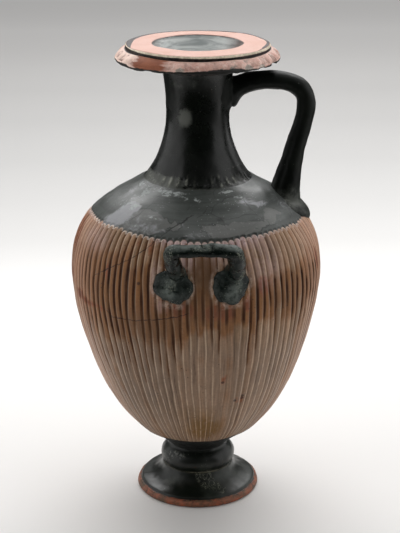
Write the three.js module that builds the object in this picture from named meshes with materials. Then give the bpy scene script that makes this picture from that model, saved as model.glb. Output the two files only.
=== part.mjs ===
// Hydria: a black-glazed water jar with a ribbed body, built from the pieces that a potter
// throws, pulls or presses one by one and lutes together before the firing.
// Millimetres, +z up. The jar stands on z = 0 with its axis on z. The pouring handle is
// on the +x side, and the two lifting handles are on the -y and +y sides.

import * as THREE from 'three';

// Heights of the four thrown sections, stacked from the standing surface up.
const footHeight = 46.5;
const bodyHeight = 269.5;
const neckHeight = 100;
const mouthHeight = 24;

// Clearance left between two curved pieces that are luted together.
const seatGap = 0.3;

// Foot: a hollow pedestal with a reserved band round its edge and a drum under the body.
const footRadius = 59.9;
const restingRadius = 58;
const restingWidth = 8;
const bandHeight = 6.2;
const bandLean = 2.4;
const flareBaseRadius = 54;
const flareBaseHeight = 9.3;
const stemRadius = 34.5;
const stemHeight = 24;
const grooveDepth = 1.2;
const drumRadius = 35;
const drumTopDrop = 2.3;
const drumLowerSwell = 6;
const drumUpperSwell = 10;
const flareHollow = 5;
const footHollowHeight = 21;

// Body: two curves that meet at the belly, above a plain black underside.
const bodyBaseRadius = 28.5;
const ribFootRadius = 57;
const ribFootRise = 23;
const ribLedge = 1.8;
const undersideReach = 9.5;
const undersideRise = 10.7;
const bellyRadius = 117.5;
const bellyRise = 179.5;
const bodyTopRadius = 50.5;
const rimLedgeWidth = 7;
const bodyWall = 5.5;
const floorThickness = 6.5;
const lowerLean = THREE.MathUtils.degToRad(43);
const shoulderSlope = THREE.MathUtils.degToRad(34.7);

// Ribs: rounded upright ribs with a narrow groove between them and a tongue at each top.
const ribCount = 104;
const ribDepth = 1.5;
const ribTipRise = 59;
const ribTwist = THREE.MathUtils.degToRad(4);
const tongueLength = 3.4;
const incisedLineWidth = 1.6;

// Neck: a wide flare on the shoulder, a slender throat and a small flare under the mouth.
const throatRadius = 29.2;
const throatRise = 64;
const neckTopRadius = 33;
const neckTopRim = 7;
const neckWall = 5.5;

// Mouth: a broad flat lip with an egg-and-dart edge, and a funnel down into the neck.
const lipRadius = 74.8;
const lipEdgeHeight = 12.8;
const bandTopRadius = 67.4;
const marginRadius = 65.5;
const marginDrop = 2.8;
const boreRadius = 41;
const boreBevel = 1.2;
const underLipRise = 11.5;
const underLipWidth = 9;
const funnelFlare = 6;
const eggCount = 24;
const eggSwell = 1.1;
const dartDepth = 0.9;

// Pouring handle: an oval strap from the neck out and down to the shoulder.
const handleSeatDrop = 22;
const handleCrestDrop = 10.2;
const handleNeckRun = 9;
const handleNeckRise = 7;
const handleCrestRun = 20;
const handleCornerRun = 11;
const handleCornerDrop = 8;
const handleCornerEnd = 23.5;
const handleRootRadius = 81;
const handleBulge = 18.8;
const handleRootLean = 3.5;
const handleWidth = 22;
const handleThickness = 16.6;
const handleNeckFlare = 1.75;
const handleRootFlare = 1.8;
const handlePadWidth = 55;
const handlePadHeight = 29;
const handlePadThickness = 6;
const handlePadDrop = 27.5;

// Lifting handles: a straight grip on two legs, each on a pressed clay plate.
const plateWidth = 34;
const plateHeight = 30;
const plateThickness = 5.5;
const plateSpacing = 50.2;
const plateRise = 19;
const legRootRise = 5;
const legRadius = 7;
const legRootFlare = 1.35;
const gripRadius = 5.7;
const gripSpacing = 56;
const gripReach = 27.5;
const gripRise = 44;
const gripCornerRadius = 9;
const elbowReach = 6.5;
const elbowRise = 3;
const elbowRadius = 8;
const padEdge = 1.2;

// Facets: sides of each round section.
const footSides = 36;
const neckSides = 44;
const bodySides = 52;
const hollowSides = 40;
const mouthSides = 48;
const columnsPerEgg = 4;

// Heights worked out from the sizes above.
const bodyBase = footHeight;
const ribFoot = bodyBase + ribFootRise;
const belly = bodyBase + bellyRise;
const ribTip = belly + ribTipRise;
const bodyTop = bodyBase + bodyHeight;
const throat = bodyTop + throatRise;
const neckTop = bodyTop + neckHeight;
const mouthTop = neckTop + mouthHeight;

const point2 = (radius, height) => new THREE.Vector2(radius, height);

// A profile curve from one point to another that leaves and arrives at the given angles.
// Angles are measured from level, and each pull says how far the curve follows its angle.
function profileCurve(start, startAngle, startPull, end, endAngle, endPull) {
  const leaving = point2(Math.cos(startAngle), Math.sin(startAngle)).multiplyScalar(startPull);
  const arriving = point2(Math.cos(endAngle), Math.sin(endAngle)).multiplyScalar(endPull);
  return new THREE.CubicBezierCurve(start, start.clone().add(leaving), end.clone().sub(arriving), end);
}

// The point of a profile that lies a distance to the left of its direction of travel.
function offsetPoint(curve, share, distance) {
  const tangent = curve.getTangent(share);
  return curve.getPoint(share).add(point2(-tangent.y, tangent.x).multiplyScalar(distance));
}

// Where a rising profile passes a height, as its share of the curve, found by halving.
function shareAtHeight(curve, height) {
  let low = 0;
  let high = 1;
  for (let step = 0; step < 40; step += 1) {
    const middle = (low + high) / 2;
    if (curve.getPoint(middle).y < height) {
      low = middle;
    } else {
      high = middle;
    }
  }
  return (low + high) / 2;
}

const upright = Math.PI / 2;
const lowerBody = profileCurve(
  point2(ribFootRadius, ribFoot), lowerLean, 0.416 * (belly - ribFoot),
  point2(bellyRadius, belly), upright, 0.139 * (belly - ribFoot));
const upperBody = profileCurve(
  point2(bellyRadius, belly), upright, 0.695 * (bodyTop - belly),
  point2(bodyTopRadius, bodyTop), Math.PI - shoulderSlope, 0.452 * (bodyTop - belly));
const neckFlare = profileCurve(
  point2(bodyTopRadius, bodyTop), Math.PI - shoulderSlope, 0.17 * throatRise,
  point2(throatRadius, throat), upright, 0.53 * throatRise);
const neckLift = profileCurve(
  point2(throatRadius, throat), upright, 0.42 * (neckTop - throat),
  point2(neckTopRadius, neckTop), THREE.MathUtils.degToRad(70), 0.22 * (neckTop - throat));

// The wall of the body or the neck at a height: its radius, and its lean per millimetre up.
function wallAt(height) {
  const curves = height < bodyTop ? [lowerBody, upperBody] : [neckFlare, neckLift];
  const turn = height < bodyTop ? belly : throat;
  const curve = height < turn ? curves[0] : curves[1];
  const share = shareAtHeight(curve, height);
  const tangent = curve.getTangent(share);
  return { radius: curve.getPoint(share).x, lean: tangent.x / Math.max(tangent.y, 0.05) };
}

// The radius, at a height, of a surface that stands a distance off the wall.
function standOff(height, distance) {
  const wall = wallAt(height);
  return wall.radius + distance * Math.hypot(1, wall.lean);
}

const onCircle = (radius, azimuth, height) => new THREE.Vector3(
  radius * Math.cos(azimuth), radius * Math.sin(azimuth), height);

// A level ring of points round the axis.
function levelRing(radius, height, sides, start = 0) {
  return Array.from({ length: sides }, (_, side) => (
    onCircle(radius, start + (2 * Math.PI * side) / sides, height)));
}

// The triangles between two rings, walking round both at an even pace. A ring of one point
// is a pole.
function stitch(faces, firstStart, firstCount, secondStart, secondCount) {
  const firstSteps = firstCount > 1 ? firstCount : 0;
  const secondSteps = secondCount > 1 ? secondCount : 0;
  let first = 0;
  let second = 0;
  while (first < firstSteps || second < secondSteps) {
    const here = firstStart + (first % firstCount);
    const there = secondStart + (second % secondCount);
    const behind = (first + 1) * secondSteps <= (second + 1) * firstSteps;
    if (first < firstSteps && (behind || second === secondSteps)) {
      first += 1;
      faces.push(here, firstStart + (first % firstCount), there);
    } else {
      second += 1;
      faces.push(here, secondStart + (second % secondCount), there);
    }
  }
}

// One closed skin over a list of rings. Each ring runs right-handed about the direction in
// which the list goes, and the list ends in poles or joins back to its first ring.
function skin(rings, joined = false) {
  const positions = rings.flat().flatMap((point) => point.toArray());
  const starts = [];
  let count = 0;
  for (const ring of rings) {
    starts.push(count);
    count += ring.length;
  }
  const faces = [];
  for (let index = 0; index + 1 < rings.length; index += 1) {
    stitch(faces, starts[index], rings[index].length, starts[index + 1], rings[index + 1].length);
  }
  if (joined) {
    const last = rings.length - 1;
    stitch(faces, starts[last], rings[last].length, starts[0], rings[0].length);
  }
  const geometry = new THREE.BufferGeometry();
  geometry.setAttribute('position', new THREE.Float32BufferAttribute(positions, 3));
  geometry.setIndex(faces);
  geometry.computeVertexNormals();
  return geometry;
}

// A piece turned on the wheel: a profile, right-hand side going up, revolved about z.
function turned(profile, sides) {
  return new THREE.LatheGeometry(profile, sides).rotateX(Math.PI / 2);
}

// The foot, from the centre of its hollow out to the resting ring and up to the drum's top.
function buildFoot() {
  const hollow = new THREE.QuadraticBezierCurve(
    point2(0, footHollowHeight), point2(stemRadius - neckWall, footHollowHeight),
    point2(restingRadius - restingWidth, 0));
  const flare = new THREE.QuadraticBezierCurve(
    point2(flareBaseRadius, flareBaseHeight), point2(stemRadius + 2, flareBaseHeight + flareHollow),
    point2(stemRadius, stemHeight));
  const drum = profileCurve(
    point2(drumRadius - 0.8, stemHeight + 2), upright - 0.5, drumLowerSwell,
    point2(bodyBaseRadius + 1, footHeight - drumTopDrop), Math.PI - 0.7, drumUpperSwell);
  return turned([
    ...hollow.getPoints(4),
    point2(restingRadius, 0),
    point2(footRadius, bandLean / 2),
    point2(footRadius - bandLean, bandHeight),
    point2(footRadius - bandLean - 1.5, bandHeight + 0.8),
    ...flare.getPoints(4),
    point2(stemRadius - grooveDepth, stemHeight + 0.9),
    ...drum.getPoints(5),
    point2(bodyBaseRadius, footHeight),
    point2(0, footHeight),
  ], footSides);
}

// The columns of one rib, as shares of its width: the groove, then the rib's two flanks.
const ribColumns = [
  { across: 0, groove: true },
  { across: 0.28, groove: false },
  { across: 0.72, groove: false },
];

// A ring across the ribs. The grooves and the rib flanks each have a height and a depth, and
// the whole ring is turned by the twist that the ribs take on their way down.
function ribRing(grooveHeight, grooveDeep, flankHeight, flankDeep) {
  const ring = [];
  for (let rib = 0; rib < ribCount; rib += 1) {
    for (const column of ribColumns) {
      const height = column.groove ? grooveHeight : flankHeight;
      const deep = column.groove ? grooveDeep : flankDeep;
      const twist = ribTwist * Math.min(1, (ribTip - height) / (ribTip - ribFoot));
      const azimuth = (2 * Math.PI * (rib + column.across)) / ribCount + Math.max(0, twist);
      ring.push(onCircle(wallAt(height).radius - deep, azimuth, height));
    }
  }
  return ring;
}

// The rings up the ribs: even steps up both body curves, then the rounded tongue tips with
// the incised line that runs over them, and last the smooth shoulder.
function ribRings() {
  const straightTop = ribTip - 2 * tongueLength;
  const lowerHeights = lowerBody.getSpacedPoints(4).map((point) => point.y);
  const upperHeights = [0.58, 1].map((share) => belly + share * (straightTop - belly));
  const straight = [...lowerHeights, ...upperHeights].map((height) => {
    const deep = ribDepth * Math.sqrt(wallAt(height).radius / bellyRadius);
    return ribRing(height, deep, height, 0.12 * deep);
  });
  return [
    ...straight,
    ribRing(ribTip - tongueLength, ribDepth, ribTip, 0.12 * ribDepth),
    ribRing(ribTip - tongueLength / 2, 0.8 * ribDepth, ribTip + incisedLineWidth / 2, 0.6 * ribDepth),
    ribRing(ribTip, 0, ribTip + incisedLineWidth, 0),
  ];
}

// The body's hollow, as rings from the neck opening down to the floor.
function bodyHollowRings() {
  const innerRing = (point) => levelRing(point.x, point.y, hollowSides);
  const upper = [1, 0.78, 0.55, 0.3].map((share) => offsetPoint(upperBody, share, bodyWall));
  const lower = [1, 0.68, 0.38, 0].map((share) => offsetPoint(lowerBody, share, bodyWall));
  const floor = bodyBase + floorThickness;
  return [
    levelRing(bodyTopRadius - rimLedgeWidth, bodyTop, hollowSides),
    ...upper.map(innerRing),
    ...lower.map(innerRing),
    levelRing(bodyBaseRadius - 4, floor + 2, hollowSides),
    [new THREE.Vector3(0, 0, floor)],
  ];
}

// The body: a plain underside, the ribbed wall, the smooth shoulder and the hollow inside.
function buildBody() {
  const underside = new THREE.QuadraticBezierCurve(
    point2(bodyBaseRadius, bodyBase), point2(bodyBaseRadius + undersideReach, bodyBase + undersideRise),
    point2(ribFootRadius - ribLedge, ribFoot - 1.2));
  const shoulderStart = shareAtHeight(upperBody, ribTip + 3 * incisedLineWidth);
  const shoulder = [0, 0.35, 0.7, 1].map((share) => (
    upperBody.getPoint(shoulderStart + share * (1 - shoulderStart))));
  return skin([
    [new THREE.Vector3(0, 0, bodyBase)],
    ...underside.getPoints(3).map((point) => levelRing(point.x, point.y, bodySides, ribTwist)),
    ...ribRings(),
    ...shoulder.map((point) => levelRing(point.x, point.y, bodySides)),
    ...bodyHollowRings(),
  ]);
}

// The neck: its outer wall up, its top rim, and its bore back down to the shoulder joint.
function buildNeck() {
  const inside = [
    ...[0.7, 0].map((share) => offsetPoint(neckLift, share, neckWall)),
    ...[0.65, 0.3].map((share) => offsetPoint(neckFlare, share, neckWall)),
  ].filter((point) => point.y > bodyTop + 1 && point.y < neckTop - 1);
  const start = point2(bodyTopRadius - rimLedgeWidth, bodyTop);
  return turned([
    start,
    ...neckFlare.getPoints(6),
    ...neckLift.getPoints(3).slice(1),
    point2(neckTopRadius - neckTopRim, neckTop),
    ...inside,
    start.clone(),
  ], neckSides);
}

// A ring across the egg-and-dart edge. The eggs stand proud and the darts between them are
// cut in, both fading as the relief goes from 1 to 0.
function eggRing(radius, height, relief) {
  const columns = eggCount * columnsPerEgg;
  return Array.from({ length: columns }, (_, column) => {
    const across = (column % columnsPerEgg) / columnsPerEgg;
    const swell = across === 0 ? -dartDepth : eggSwell * Math.sin(Math.PI * across);
    return onCircle(radius + relief * swell, (2 * Math.PI * column) / columns, height);
  });
}

// The mouth, from its seat on the neck out under the lip, over the top and down the funnel.
function buildMouth() {
  const lipEdge = mouthTop - lipEdgeHeight;
  const bandTop = mouthTop - marginDrop - 2;
  const bandPoint = (share) => point2(
    lipRadius + (bandTopRadius - lipRadius) * share ** 1.6, lipEdge + (bandTop - lipEdge) * share);
  const underLip = new THREE.QuadraticBezierCurve(
    point2(neckTopRadius, neckTop), point2(neckTopRadius + 3, neckTop + underLipRise),
    point2(lipRadius - underLipWidth, neckTop + underLipRise));
  const funnel = new THREE.QuadraticBezierCurve(
    point2(boreRadius, mouthTop - boreBevel), point2(boreRadius - funnelFlare, mouthTop - mouthHeight / 2),
    point2(neckTopRadius - neckTopRim, neckTop));
  const plain = (point) => levelRing(point.x, point.y, mouthSides);
  return skin([
    ...underLip.getPoints(3).map(plain),
    eggRing(lipRadius - 2, lipEdge - 1.6, 0.3),
    eggRing(lipRadius, lipEdge, 0.5),
    ...[0.33, 0.68].map((share) => eggRing(bandPoint(share).x, bandPoint(share).y, 1)),
    eggRing(bandTopRadius, bandTop, 0),
    levelRing(marginRadius, bandTop + 0.3, mouthSides),
    levelRing(marginRadius, mouthTop - marginDrop / 2, mouthSides),
    levelRing(marginRadius - 1.6, mouthTop, mouthSides),
    levelRing(boreRadius + boreBevel, mouthTop, mouthSides),
    ...funnel.getPoints(4).map(plain),
  ], true);
}

// How thick a clay pad is at a place on the wall: full in the middle and thin at its edge.
function padThicknessAt(pad, azimuth, height) {
  const turn = Math.atan2(Math.sin(azimuth - pad.azimuth), Math.cos(azimuth - pad.azimuth));
  const across = (turn * wallAt(pad.height).radius) / (pad.width / 2);
  const along = (height - pad.height) / (pad.tall / 2);
  const reach = Math.min(1, Math.hypot(across, along));
  return padEdge + (pad.thickness - padEdge) * Math.sqrt(1 - reach * reach);
}

// A pad pressed on the wall: an oval whose back follows the wall and whose face swells.
function buildPad(pad, reaches, sides) {
  const ring = (reach, onFace) => Array.from({ length: reach > 0 ? sides : 1 }, (_, side) => {
    const turn = (2 * Math.PI * side) / sides;
    const height = pad.height + (reach * Math.sin(turn) * pad.tall) / 2;
    const across = (reach * Math.cos(turn) * pad.width) / 2;
    const azimuth = pad.azimuth + across / wallAt(pad.height).radius;
    const thickness = onFace ? padThicknessAt(pad, azimuth, height) : 0;
    return onCircle(standOff(height, seatGap + thickness), azimuth, height);
  });
  return skin([
    ...reaches.map((reach) => ring(reach, false)),
    ...reaches.toReversed().map((reach) => ring(reach, true)),
  ]);
}

// The radius of the pad's face, with the clearance for what is luted on it.
const padFace = (pad) => (azimuth, height) => (
  standOff(height, 2 * seatGap + padThicknessAt(pad, azimuth, height)));

// Moves a point along a direction until it meets a surface round the axis, by halving
// between a place outside the surface and one inside it.
function seatPoint(point, direction, surfaceRadius, reach) {
  const place = (distance) => point.clone().addScaledVector(direction, distance);
  let outside = -reach;
  let inside = reach;
  for (let step = 0; step < 30; step += 1) {
    const middle = (outside + inside) / 2;
    const tried = place(middle);
    const azimuth = Math.atan2(tried.y, tried.x);
    if (Math.hypot(tried.x, tried.y) > surfaceRadius(azimuth, tried.z)) {
      outside = middle;
    } else {
      inside = middle;
    }
  }
  return place((outside + inside) / 2);
}

// A pulled handle: oval sections carried along the route, each turned from the last by the
// least amount, with both ends pressed on the surfaces that they are luted to. The route is
// a list of curves with the steps that each takes, and sectionAt gives the half width and
// half thickness at a share of the route.
function pulledHandle(route, widthDirection, sectionAt, sides, seats) {
  const stations = route.flatMap(({ curve, steps }, index) => (
    Array.from({ length: steps + (index === route.length - 1 ? 1 : 0) }, (_, step) => ({
      centre: curve.getPoint(step / steps),
      tangent: curve.getTangent(step / steps),
    }))));
  let length = 0;
  stations.forEach((station, index) => {
    length += index > 0 ? station.centre.distanceTo(stations[index - 1].centre) : 0;
    station.along = length;
  });
  const normal = widthDirection.clone();
  const section = (station, reach) => {
    normal.addScaledVector(station.tangent, -normal.dot(station.tangent)).normalize();
    const across = new THREE.Vector3().crossVectors(station.tangent, normal);
    const [halfWidth, halfThickness] = sectionAt(station.along / length);
    return Array.from({ length: reach > 0 ? sides : 1 }, (_, side) => {
      const turn = (2 * Math.PI * (side + 0.5)) / sides;
      return station.centre.clone()
        .addScaledVector(normal, reach * halfWidth * Math.cos(turn))
        .addScaledVector(across, reach * halfThickness * Math.sin(turn));
    });
  };
  const seatReach = 2 * legRadius + handleWidth;
  const endRings = (station, seat, heading, reaches) => {
    const direction = station.tangent.clone().multiplyScalar(heading);
    return reaches.map((reach) => section(station, reach).map((point) => (
      seatPoint(point, direction, seat, seatReach))));
  };
  const first = endRings(stations[0], seats[0], -1, [0, 0.5, 1]);
  const middle = stations.slice(1, -1).map((station) => section(station, 1));
  const last = endRings(stations.at(-1), seats[1], 1, [1, 0.5, 0]);
  return skin([...first, ...middle, ...last]);
}

// The pad under the pouring handle's lower end, on the shoulder.
const handlePad = {
  azimuth: 0,
  height: bodyTop - handlePadDrop,
  width: handlePadWidth,
  tall: handlePadHeight,
  thickness: handlePadThickness,
};

// The pouring handle's centre line: up and out from the neck, over its crest, round the
// corner and down to the shoulder pad, leaning in as it goes.
function pouringRoute() {
  const spot = (x, z) => new THREE.Vector3(x, 0, z);
  const seat = neckTop - handleSeatDrop;
  const crest = neckTop - handleCrestDrop;
  const cornerEnd = crest - handleCornerEnd;
  const root = handlePad.height + handlePadThickness;
  const drop = cornerEnd - root;
  const neckFace = wallAt(seat).radius + seatGap;
  const reach = handleRootRadius + handleBulge;
  const crestX = (neckFace + reach) / 2;
  const overNeck = new THREE.CubicBezierCurve3(
    spot(neckFace, seat), spot(neckFace + handleNeckRun, seat + handleNeckRise),
    spot(crestX - handleCrestRun, crest), spot(crestX, crest));
  const corner = new THREE.CubicBezierCurve3(
    spot(crestX, crest), spot(reach - handleCornerRun, crest),
    spot(reach, crest - handleCornerDrop), spot(reach, cornerEnd));
  const downStroke = new THREE.CubicBezierCurve3(
    spot(reach, cornerEnd), spot(reach, cornerEnd - 0.18 * drop),
    spot(handleRootRadius + handleRootLean, root + 0.42 * drop), spot(handleRootRadius, root));
  return [{ curve: overNeck, steps: 6 }, { curve: corner, steps: 8 }, { curve: downStroke, steps: 8 }];
}

// The pouring handle, an even oval that widens into the neck and on to its pad.
function buildPouringHandle() {
  const sectionAt = (share) => {
    const neckPart = (handleNeckFlare - 1) * Math.max(0, 1 - share / 0.2) ** 2;
    const rootPart = (handleRootFlare - 1) * Math.max(0, (share - 0.66) / 0.34) ** 2;
    const swell = 1 + neckPart + rootPart;
    return [(handleWidth / 2) * (1 + neckPart / 2 + 0.7 * rootPart), (handleThickness / 2) * swell];
  };
  const neckFace = (azimuth, height) => standOff(height, seatGap);
  return pulledHandle(
    pouringRoute(), new THREE.Vector3(0, 1, 0), sectionAt, 12, [neckFace, padFace(handlePad)]);
}

// The plates of a lifting handle on the -y side, left and right of its middle.
function liftingPlate(side) {
  const height = belly + plateRise;
  return {
    azimuth: -Math.PI / 2 + side * Math.asin(plateSpacing / 2 / wallAt(height).radius),
    height,
    width: plateWidth,
    tall: plateHeight,
    thickness: plateThickness,
  };
}

// A lifting handle on the -y side: a leg straight out of its plate, bent up to the grip,
// along the grip, and the same back to the other plate.
function buildLiftingHandle(leftPlate, rightPlate) {
  const legPoint = (plate, distance, rise) => {
    const height = plate.height + legRootRise;
    const radius = padFace(plate)(plate.azimuth, height) + distance;
    return onCircle(radius, plate.azimuth, height + rise);
  };
  const gripHeight = leftPlate.height + gripRise;
  const gripDepth = -(bellyRadius + gripReach);
  const corner = (side) => new THREE.Vector3((side * gripSpacing) / 2, gripDepth, gripHeight);
  const legRoute = (plate, side) => {
    const elbow = legPoint(plate, elbowReach, elbowRise);
    const legUp = corner(side).sub(elbow).normalize();
    const belowCorner = corner(side).addScaledVector(legUp, -gripCornerRadius);
    const intoGrip = corner(side);
    intoGrip.x -= side * gripCornerRadius;
    const aboveElbow = elbow.clone().addScaledVector(legUp, elbowRadius);
    return { root: legPoint(plate, 0, 0), elbow, aboveElbow, belowCorner, corner: corner(side), intoGrip };
  };
  const left = legRoute(leftPlate, -1);
  const right = legRoute(rightPlate, 1);
  const bend = (...points) => new THREE.QuadraticBezierCurve3(...points);
  const straight = (from, to) => new THREE.LineCurve3(from, to);
  const route = [
    { curve: bend(left.root, left.elbow, left.aboveElbow), steps: 4 },
    { curve: straight(left.aboveElbow, left.belowCorner), steps: 2 },
    { curve: bend(left.belowCorner, left.corner, left.intoGrip), steps: 4 },
    { curve: straight(left.intoGrip, right.intoGrip), steps: 3 },
    { curve: bend(right.intoGrip, right.corner, right.belowCorner), steps: 4 },
    { curve: straight(right.belowCorner, right.aboveElbow), steps: 2 },
    { curve: bend(right.aboveElbow, right.elbow, right.root), steps: 4 },
  ];
  const sectionAt = (share) => {
    const fromMiddle = Math.abs(share - 0.5) * 2;
    const intoLeg = THREE.MathUtils.smoothstep(fromMiddle, 0.2, 0.5);
    const intoRoot = THREE.MathUtils.smoothstep(fromMiddle, 0.8, 1);
    const radius = gripRadius + (legRadius - gripRadius) * intoLeg;
    const swollen = radius * (1 + (legRootFlare - 1) * intoRoot);
    return [swollen, swollen];
  };
  return pulledHandle(
    route, new THREE.Vector3(0, 0, 1), sectionAt, 10, [padFace(leftPlate), padFace(rightPlate)]);
}

const blackGlaze = new THREE.MeshStandardMaterial({ color: 0x1b1c1a, roughness: 0.25, metalness: 0 });
const wornRibSlip = new THREE.MeshStandardMaterial({ color: 0x8a5f49, roughness: 0.6, metalness: 0 });
const reservedClay = new THREE.MeshStandardMaterial({ color: 0xc58f78, roughness: 0.75, metalness: 0 });
const wornGlaze = new THREE.MeshStandardMaterial({ color: 0x252a26, roughness: 0.45, metalness: 0 });

function piece(name, geometry, material) {
  const mesh = new THREE.Mesh(geometry, material);
  mesh.name = name;
  return mesh;
}

// A lifting handle with its two plates, turned about the axis to the side it belongs on.
function liftingHandleGroup(side, turn) {
  const leftPlate = liftingPlate(-1);
  const rightPlate = liftingPlate(1);
  const plateReaches = [0, 0.4, 0.75, 1];
  const group = new THREE.Group();
  group.rotation.z = turn;
  group.add(
    piece(`${side}_lifting_handle`, buildLiftingHandle(leftPlate, rightPlate), wornGlaze),
    piece(`${side}_left_plate`, buildPad(leftPlate, plateReaches, 16), wornGlaze),
    piece(`${side}_right_plate`, buildPad(rightPlate, plateReaches, 16), wornGlaze));
  return group;
}

const hydria = new THREE.Group();
hydria.add(
  piece('foot', buildFoot(), blackGlaze),
  piece('body', buildBody(), wornRibSlip),
  piece('neck', buildNeck(), blackGlaze),
  piece('mouth', buildMouth(), reservedClay),
  piece('pouring_handle', buildPouringHandle(), blackGlaze),
  piece('pouring_handle_pad', buildPad(handlePad, [0, 0.25, 0.5, 0.75, 1], 24), blackGlaze),
  liftingHandleGroup('front', 0),
  liftingHandleGroup('rear', Math.PI));

export default hydria;
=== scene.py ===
"""The looks of a hydria: a black-glazed water jar with a ribbed body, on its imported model.

Every shape is worked out in millimetres as whole numpy arrays and put into its mesh in metres.
The jar stands on z = 0 with its axis on z. An azimuth is measured in radians from the front
(-y), and grows towards the pouring handle (+x).
"""

from __future__ import annotations

import logging
import math
from dataclasses import dataclass, field
from enum import Enum
from typing import Sequence

import bpy
import numpy as np
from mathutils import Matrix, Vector

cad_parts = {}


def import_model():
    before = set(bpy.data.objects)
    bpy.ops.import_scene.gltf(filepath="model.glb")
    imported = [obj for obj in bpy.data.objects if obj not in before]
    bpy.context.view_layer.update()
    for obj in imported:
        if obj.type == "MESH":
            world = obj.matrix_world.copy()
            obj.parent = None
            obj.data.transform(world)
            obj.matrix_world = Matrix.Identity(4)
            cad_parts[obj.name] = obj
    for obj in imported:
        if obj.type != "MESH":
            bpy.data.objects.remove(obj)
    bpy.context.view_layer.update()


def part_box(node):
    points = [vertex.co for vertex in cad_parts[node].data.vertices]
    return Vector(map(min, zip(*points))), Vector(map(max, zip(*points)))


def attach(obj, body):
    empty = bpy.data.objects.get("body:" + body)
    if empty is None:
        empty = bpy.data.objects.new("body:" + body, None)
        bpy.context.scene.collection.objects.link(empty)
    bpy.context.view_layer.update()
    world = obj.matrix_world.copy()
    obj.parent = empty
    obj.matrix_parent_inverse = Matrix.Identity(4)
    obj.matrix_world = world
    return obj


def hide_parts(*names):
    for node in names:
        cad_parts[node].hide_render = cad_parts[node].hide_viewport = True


logging.basicConfig(level=logging.INFO, format="%(name)s: %(message)s")
log = logging.getLogger("hydria")

Array = np.ndarray
Point = tuple[float, float]
Colour = tuple[float, float, float]
Socket = bpy.types.NodeSocket

MM = 0.001
BODY = "root"
# How far beside a crack a distance is kept, in millimetres.
CRACK_SIDE = 20.0


def bezier(control: Sequence[Point], shares: Array) -> Array:
    """Gives points of a Bezier curve: its control points weighted by Bernstein's terms.

    Args:
        control: The control points, of two or three numbers each.
        shares: How far along the curve each point lies, from 0 to 1.

    Returns:
        One row for each share.
    """
    order = len(control) - 1
    points = np.asarray(control, float)
    terms = [math.comb(order, k) * shares**k * (1 - shares) ** (order - k) for k in range(order + 1)]
    return np.stack(terms, axis=1) @ points


def angled(start: Point, start_angle: float, start_pull: float,
           end: Point, end_angle: float, end_pull: float) -> list[Point]:
    """Gives the control points of a curve that leaves and arrives at given angles.

    Args:
        start: Where the curve leaves.
        start_angle: The angle that it leaves at, in degrees from level.
        start_pull: How far it follows that angle.
        end: Where it arrives.
        end_angle: The angle that it arrives at, in degrees from level.
        end_pull: How far it follows that angle.

    Returns:
        Four control points for bezier().
    """
    leaving, arriving = math.radians(start_angle), math.radians(end_angle)
    after = (start[0] + start_pull * math.cos(leaving), start[1] + start_pull * math.sin(leaving))
    before = (end[0] - end_pull * math.cos(arriving), end[1] - end_pull * math.sin(arriving))
    return [start, after, before, end]


def smooth_step(values: Array, low: float, high: float) -> Array:
    """Gives 0 below low and 1 above high, joined by the cubic 3t² - 2t³."""
    share = np.clip((values - low) / (high - low), 0.0, 1.0)
    return share * share * (3 - 2 * share)


def evenly(line: Array, spacing: float) -> Array:
    """Walks along a line of points and sets new ones at an even spacing, its ends kept."""
    steps = np.hypot(*np.diff(line, axis=0).T)
    along = np.concatenate([[0.0], np.cumsum(steps)])
    count = max(2, int(round(along[-1] / spacing)) + 1)
    wanted = np.linspace(0.0, along[-1], count)
    return np.stack([np.interp(wanted, along, line[:, k]) for k in range(line.shape[1])], axis=1)


def rounded(corners: Sequence[tuple[float, float, float]], steps: int = 5) -> Array:
    """Gives a profile through corners, each rounded by a quadratic curve of its own radius.

    Args:
        corners: Radius, height and rounding of each corner.
        steps: The points that each rounding takes.

    Returns:
        The profile's points.
    """
    places = np.array([corner[:2] for corner in corners], float)
    made = [places[:1]]
    for index in range(1, len(corners) - 1):
        here, before, after = places[index], places[index - 1], places[index + 1]
        reach = corners[index][2]
        ways = [before - here, after - here]
        starts = [here + way / np.hypot(*way) * min(reach, 0.49 * np.hypot(*way)) for way in ways]
        made.append(bezier([tuple(starts[0]), tuple(here), tuple(starts[1])], np.linspace(0, 1, steps)))
    made.append(places[-1:])
    return np.concatenate(made)


def around(azimuth: Array, radius: Array, height: Array) -> Array:
    """Gives points at an azimuth from the front: x is radius·sin and y is -radius·cos."""
    azimuth, radius, height = np.broadcast_arrays(azimuth, radius, height)
    return np.stack([radius * np.sin(azimuth), -radius * np.cos(azimuth), height], axis=-1)


def azimuth_of(points: Array) -> Array:
    """Gives each point's azimuth from the front, from -π to π."""
    return np.arctan2(points[..., 0], -points[..., 1])


@dataclass(frozen=True)
class Ripple:
    """The slight unevenness that hands leave in clay.

    Attributes:
        seed: Picks the waves.
        height: How far the surface moves, in millimetres.
        length: The usual length of a wave, in millimetres.
        waves: How many plane waves are added up.
    """

    seed: int
    height: float
    length: float
    waves: int = 14

    def at(self, points: Array) -> Array:
        """Adds up sin(way · point + phase) over waves of random ways, lengths and phases.

        Args:
            points: Places in millimetres, with three numbers in the last axis.

        Returns:
            The height of the ripple at each place.
        """
        draw = np.random.default_rng(self.seed)
        ways = draw.normal(size=(self.waves, 3))
        ways /= np.linalg.norm(ways, axis=1, keepdims=True)
        ways *= 2 * np.pi / (self.length * draw.uniform(0.7, 1.7, (self.waves, 1)))
        phases = draw.uniform(0, 2 * np.pi, self.waves)
        total = np.zeros(points.shape[:-1])
        for way, phase in zip(ways, phases):
            total += np.sin(points @ way + phase)
        return self.height * total * math.sqrt(2 / self.waves)


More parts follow.
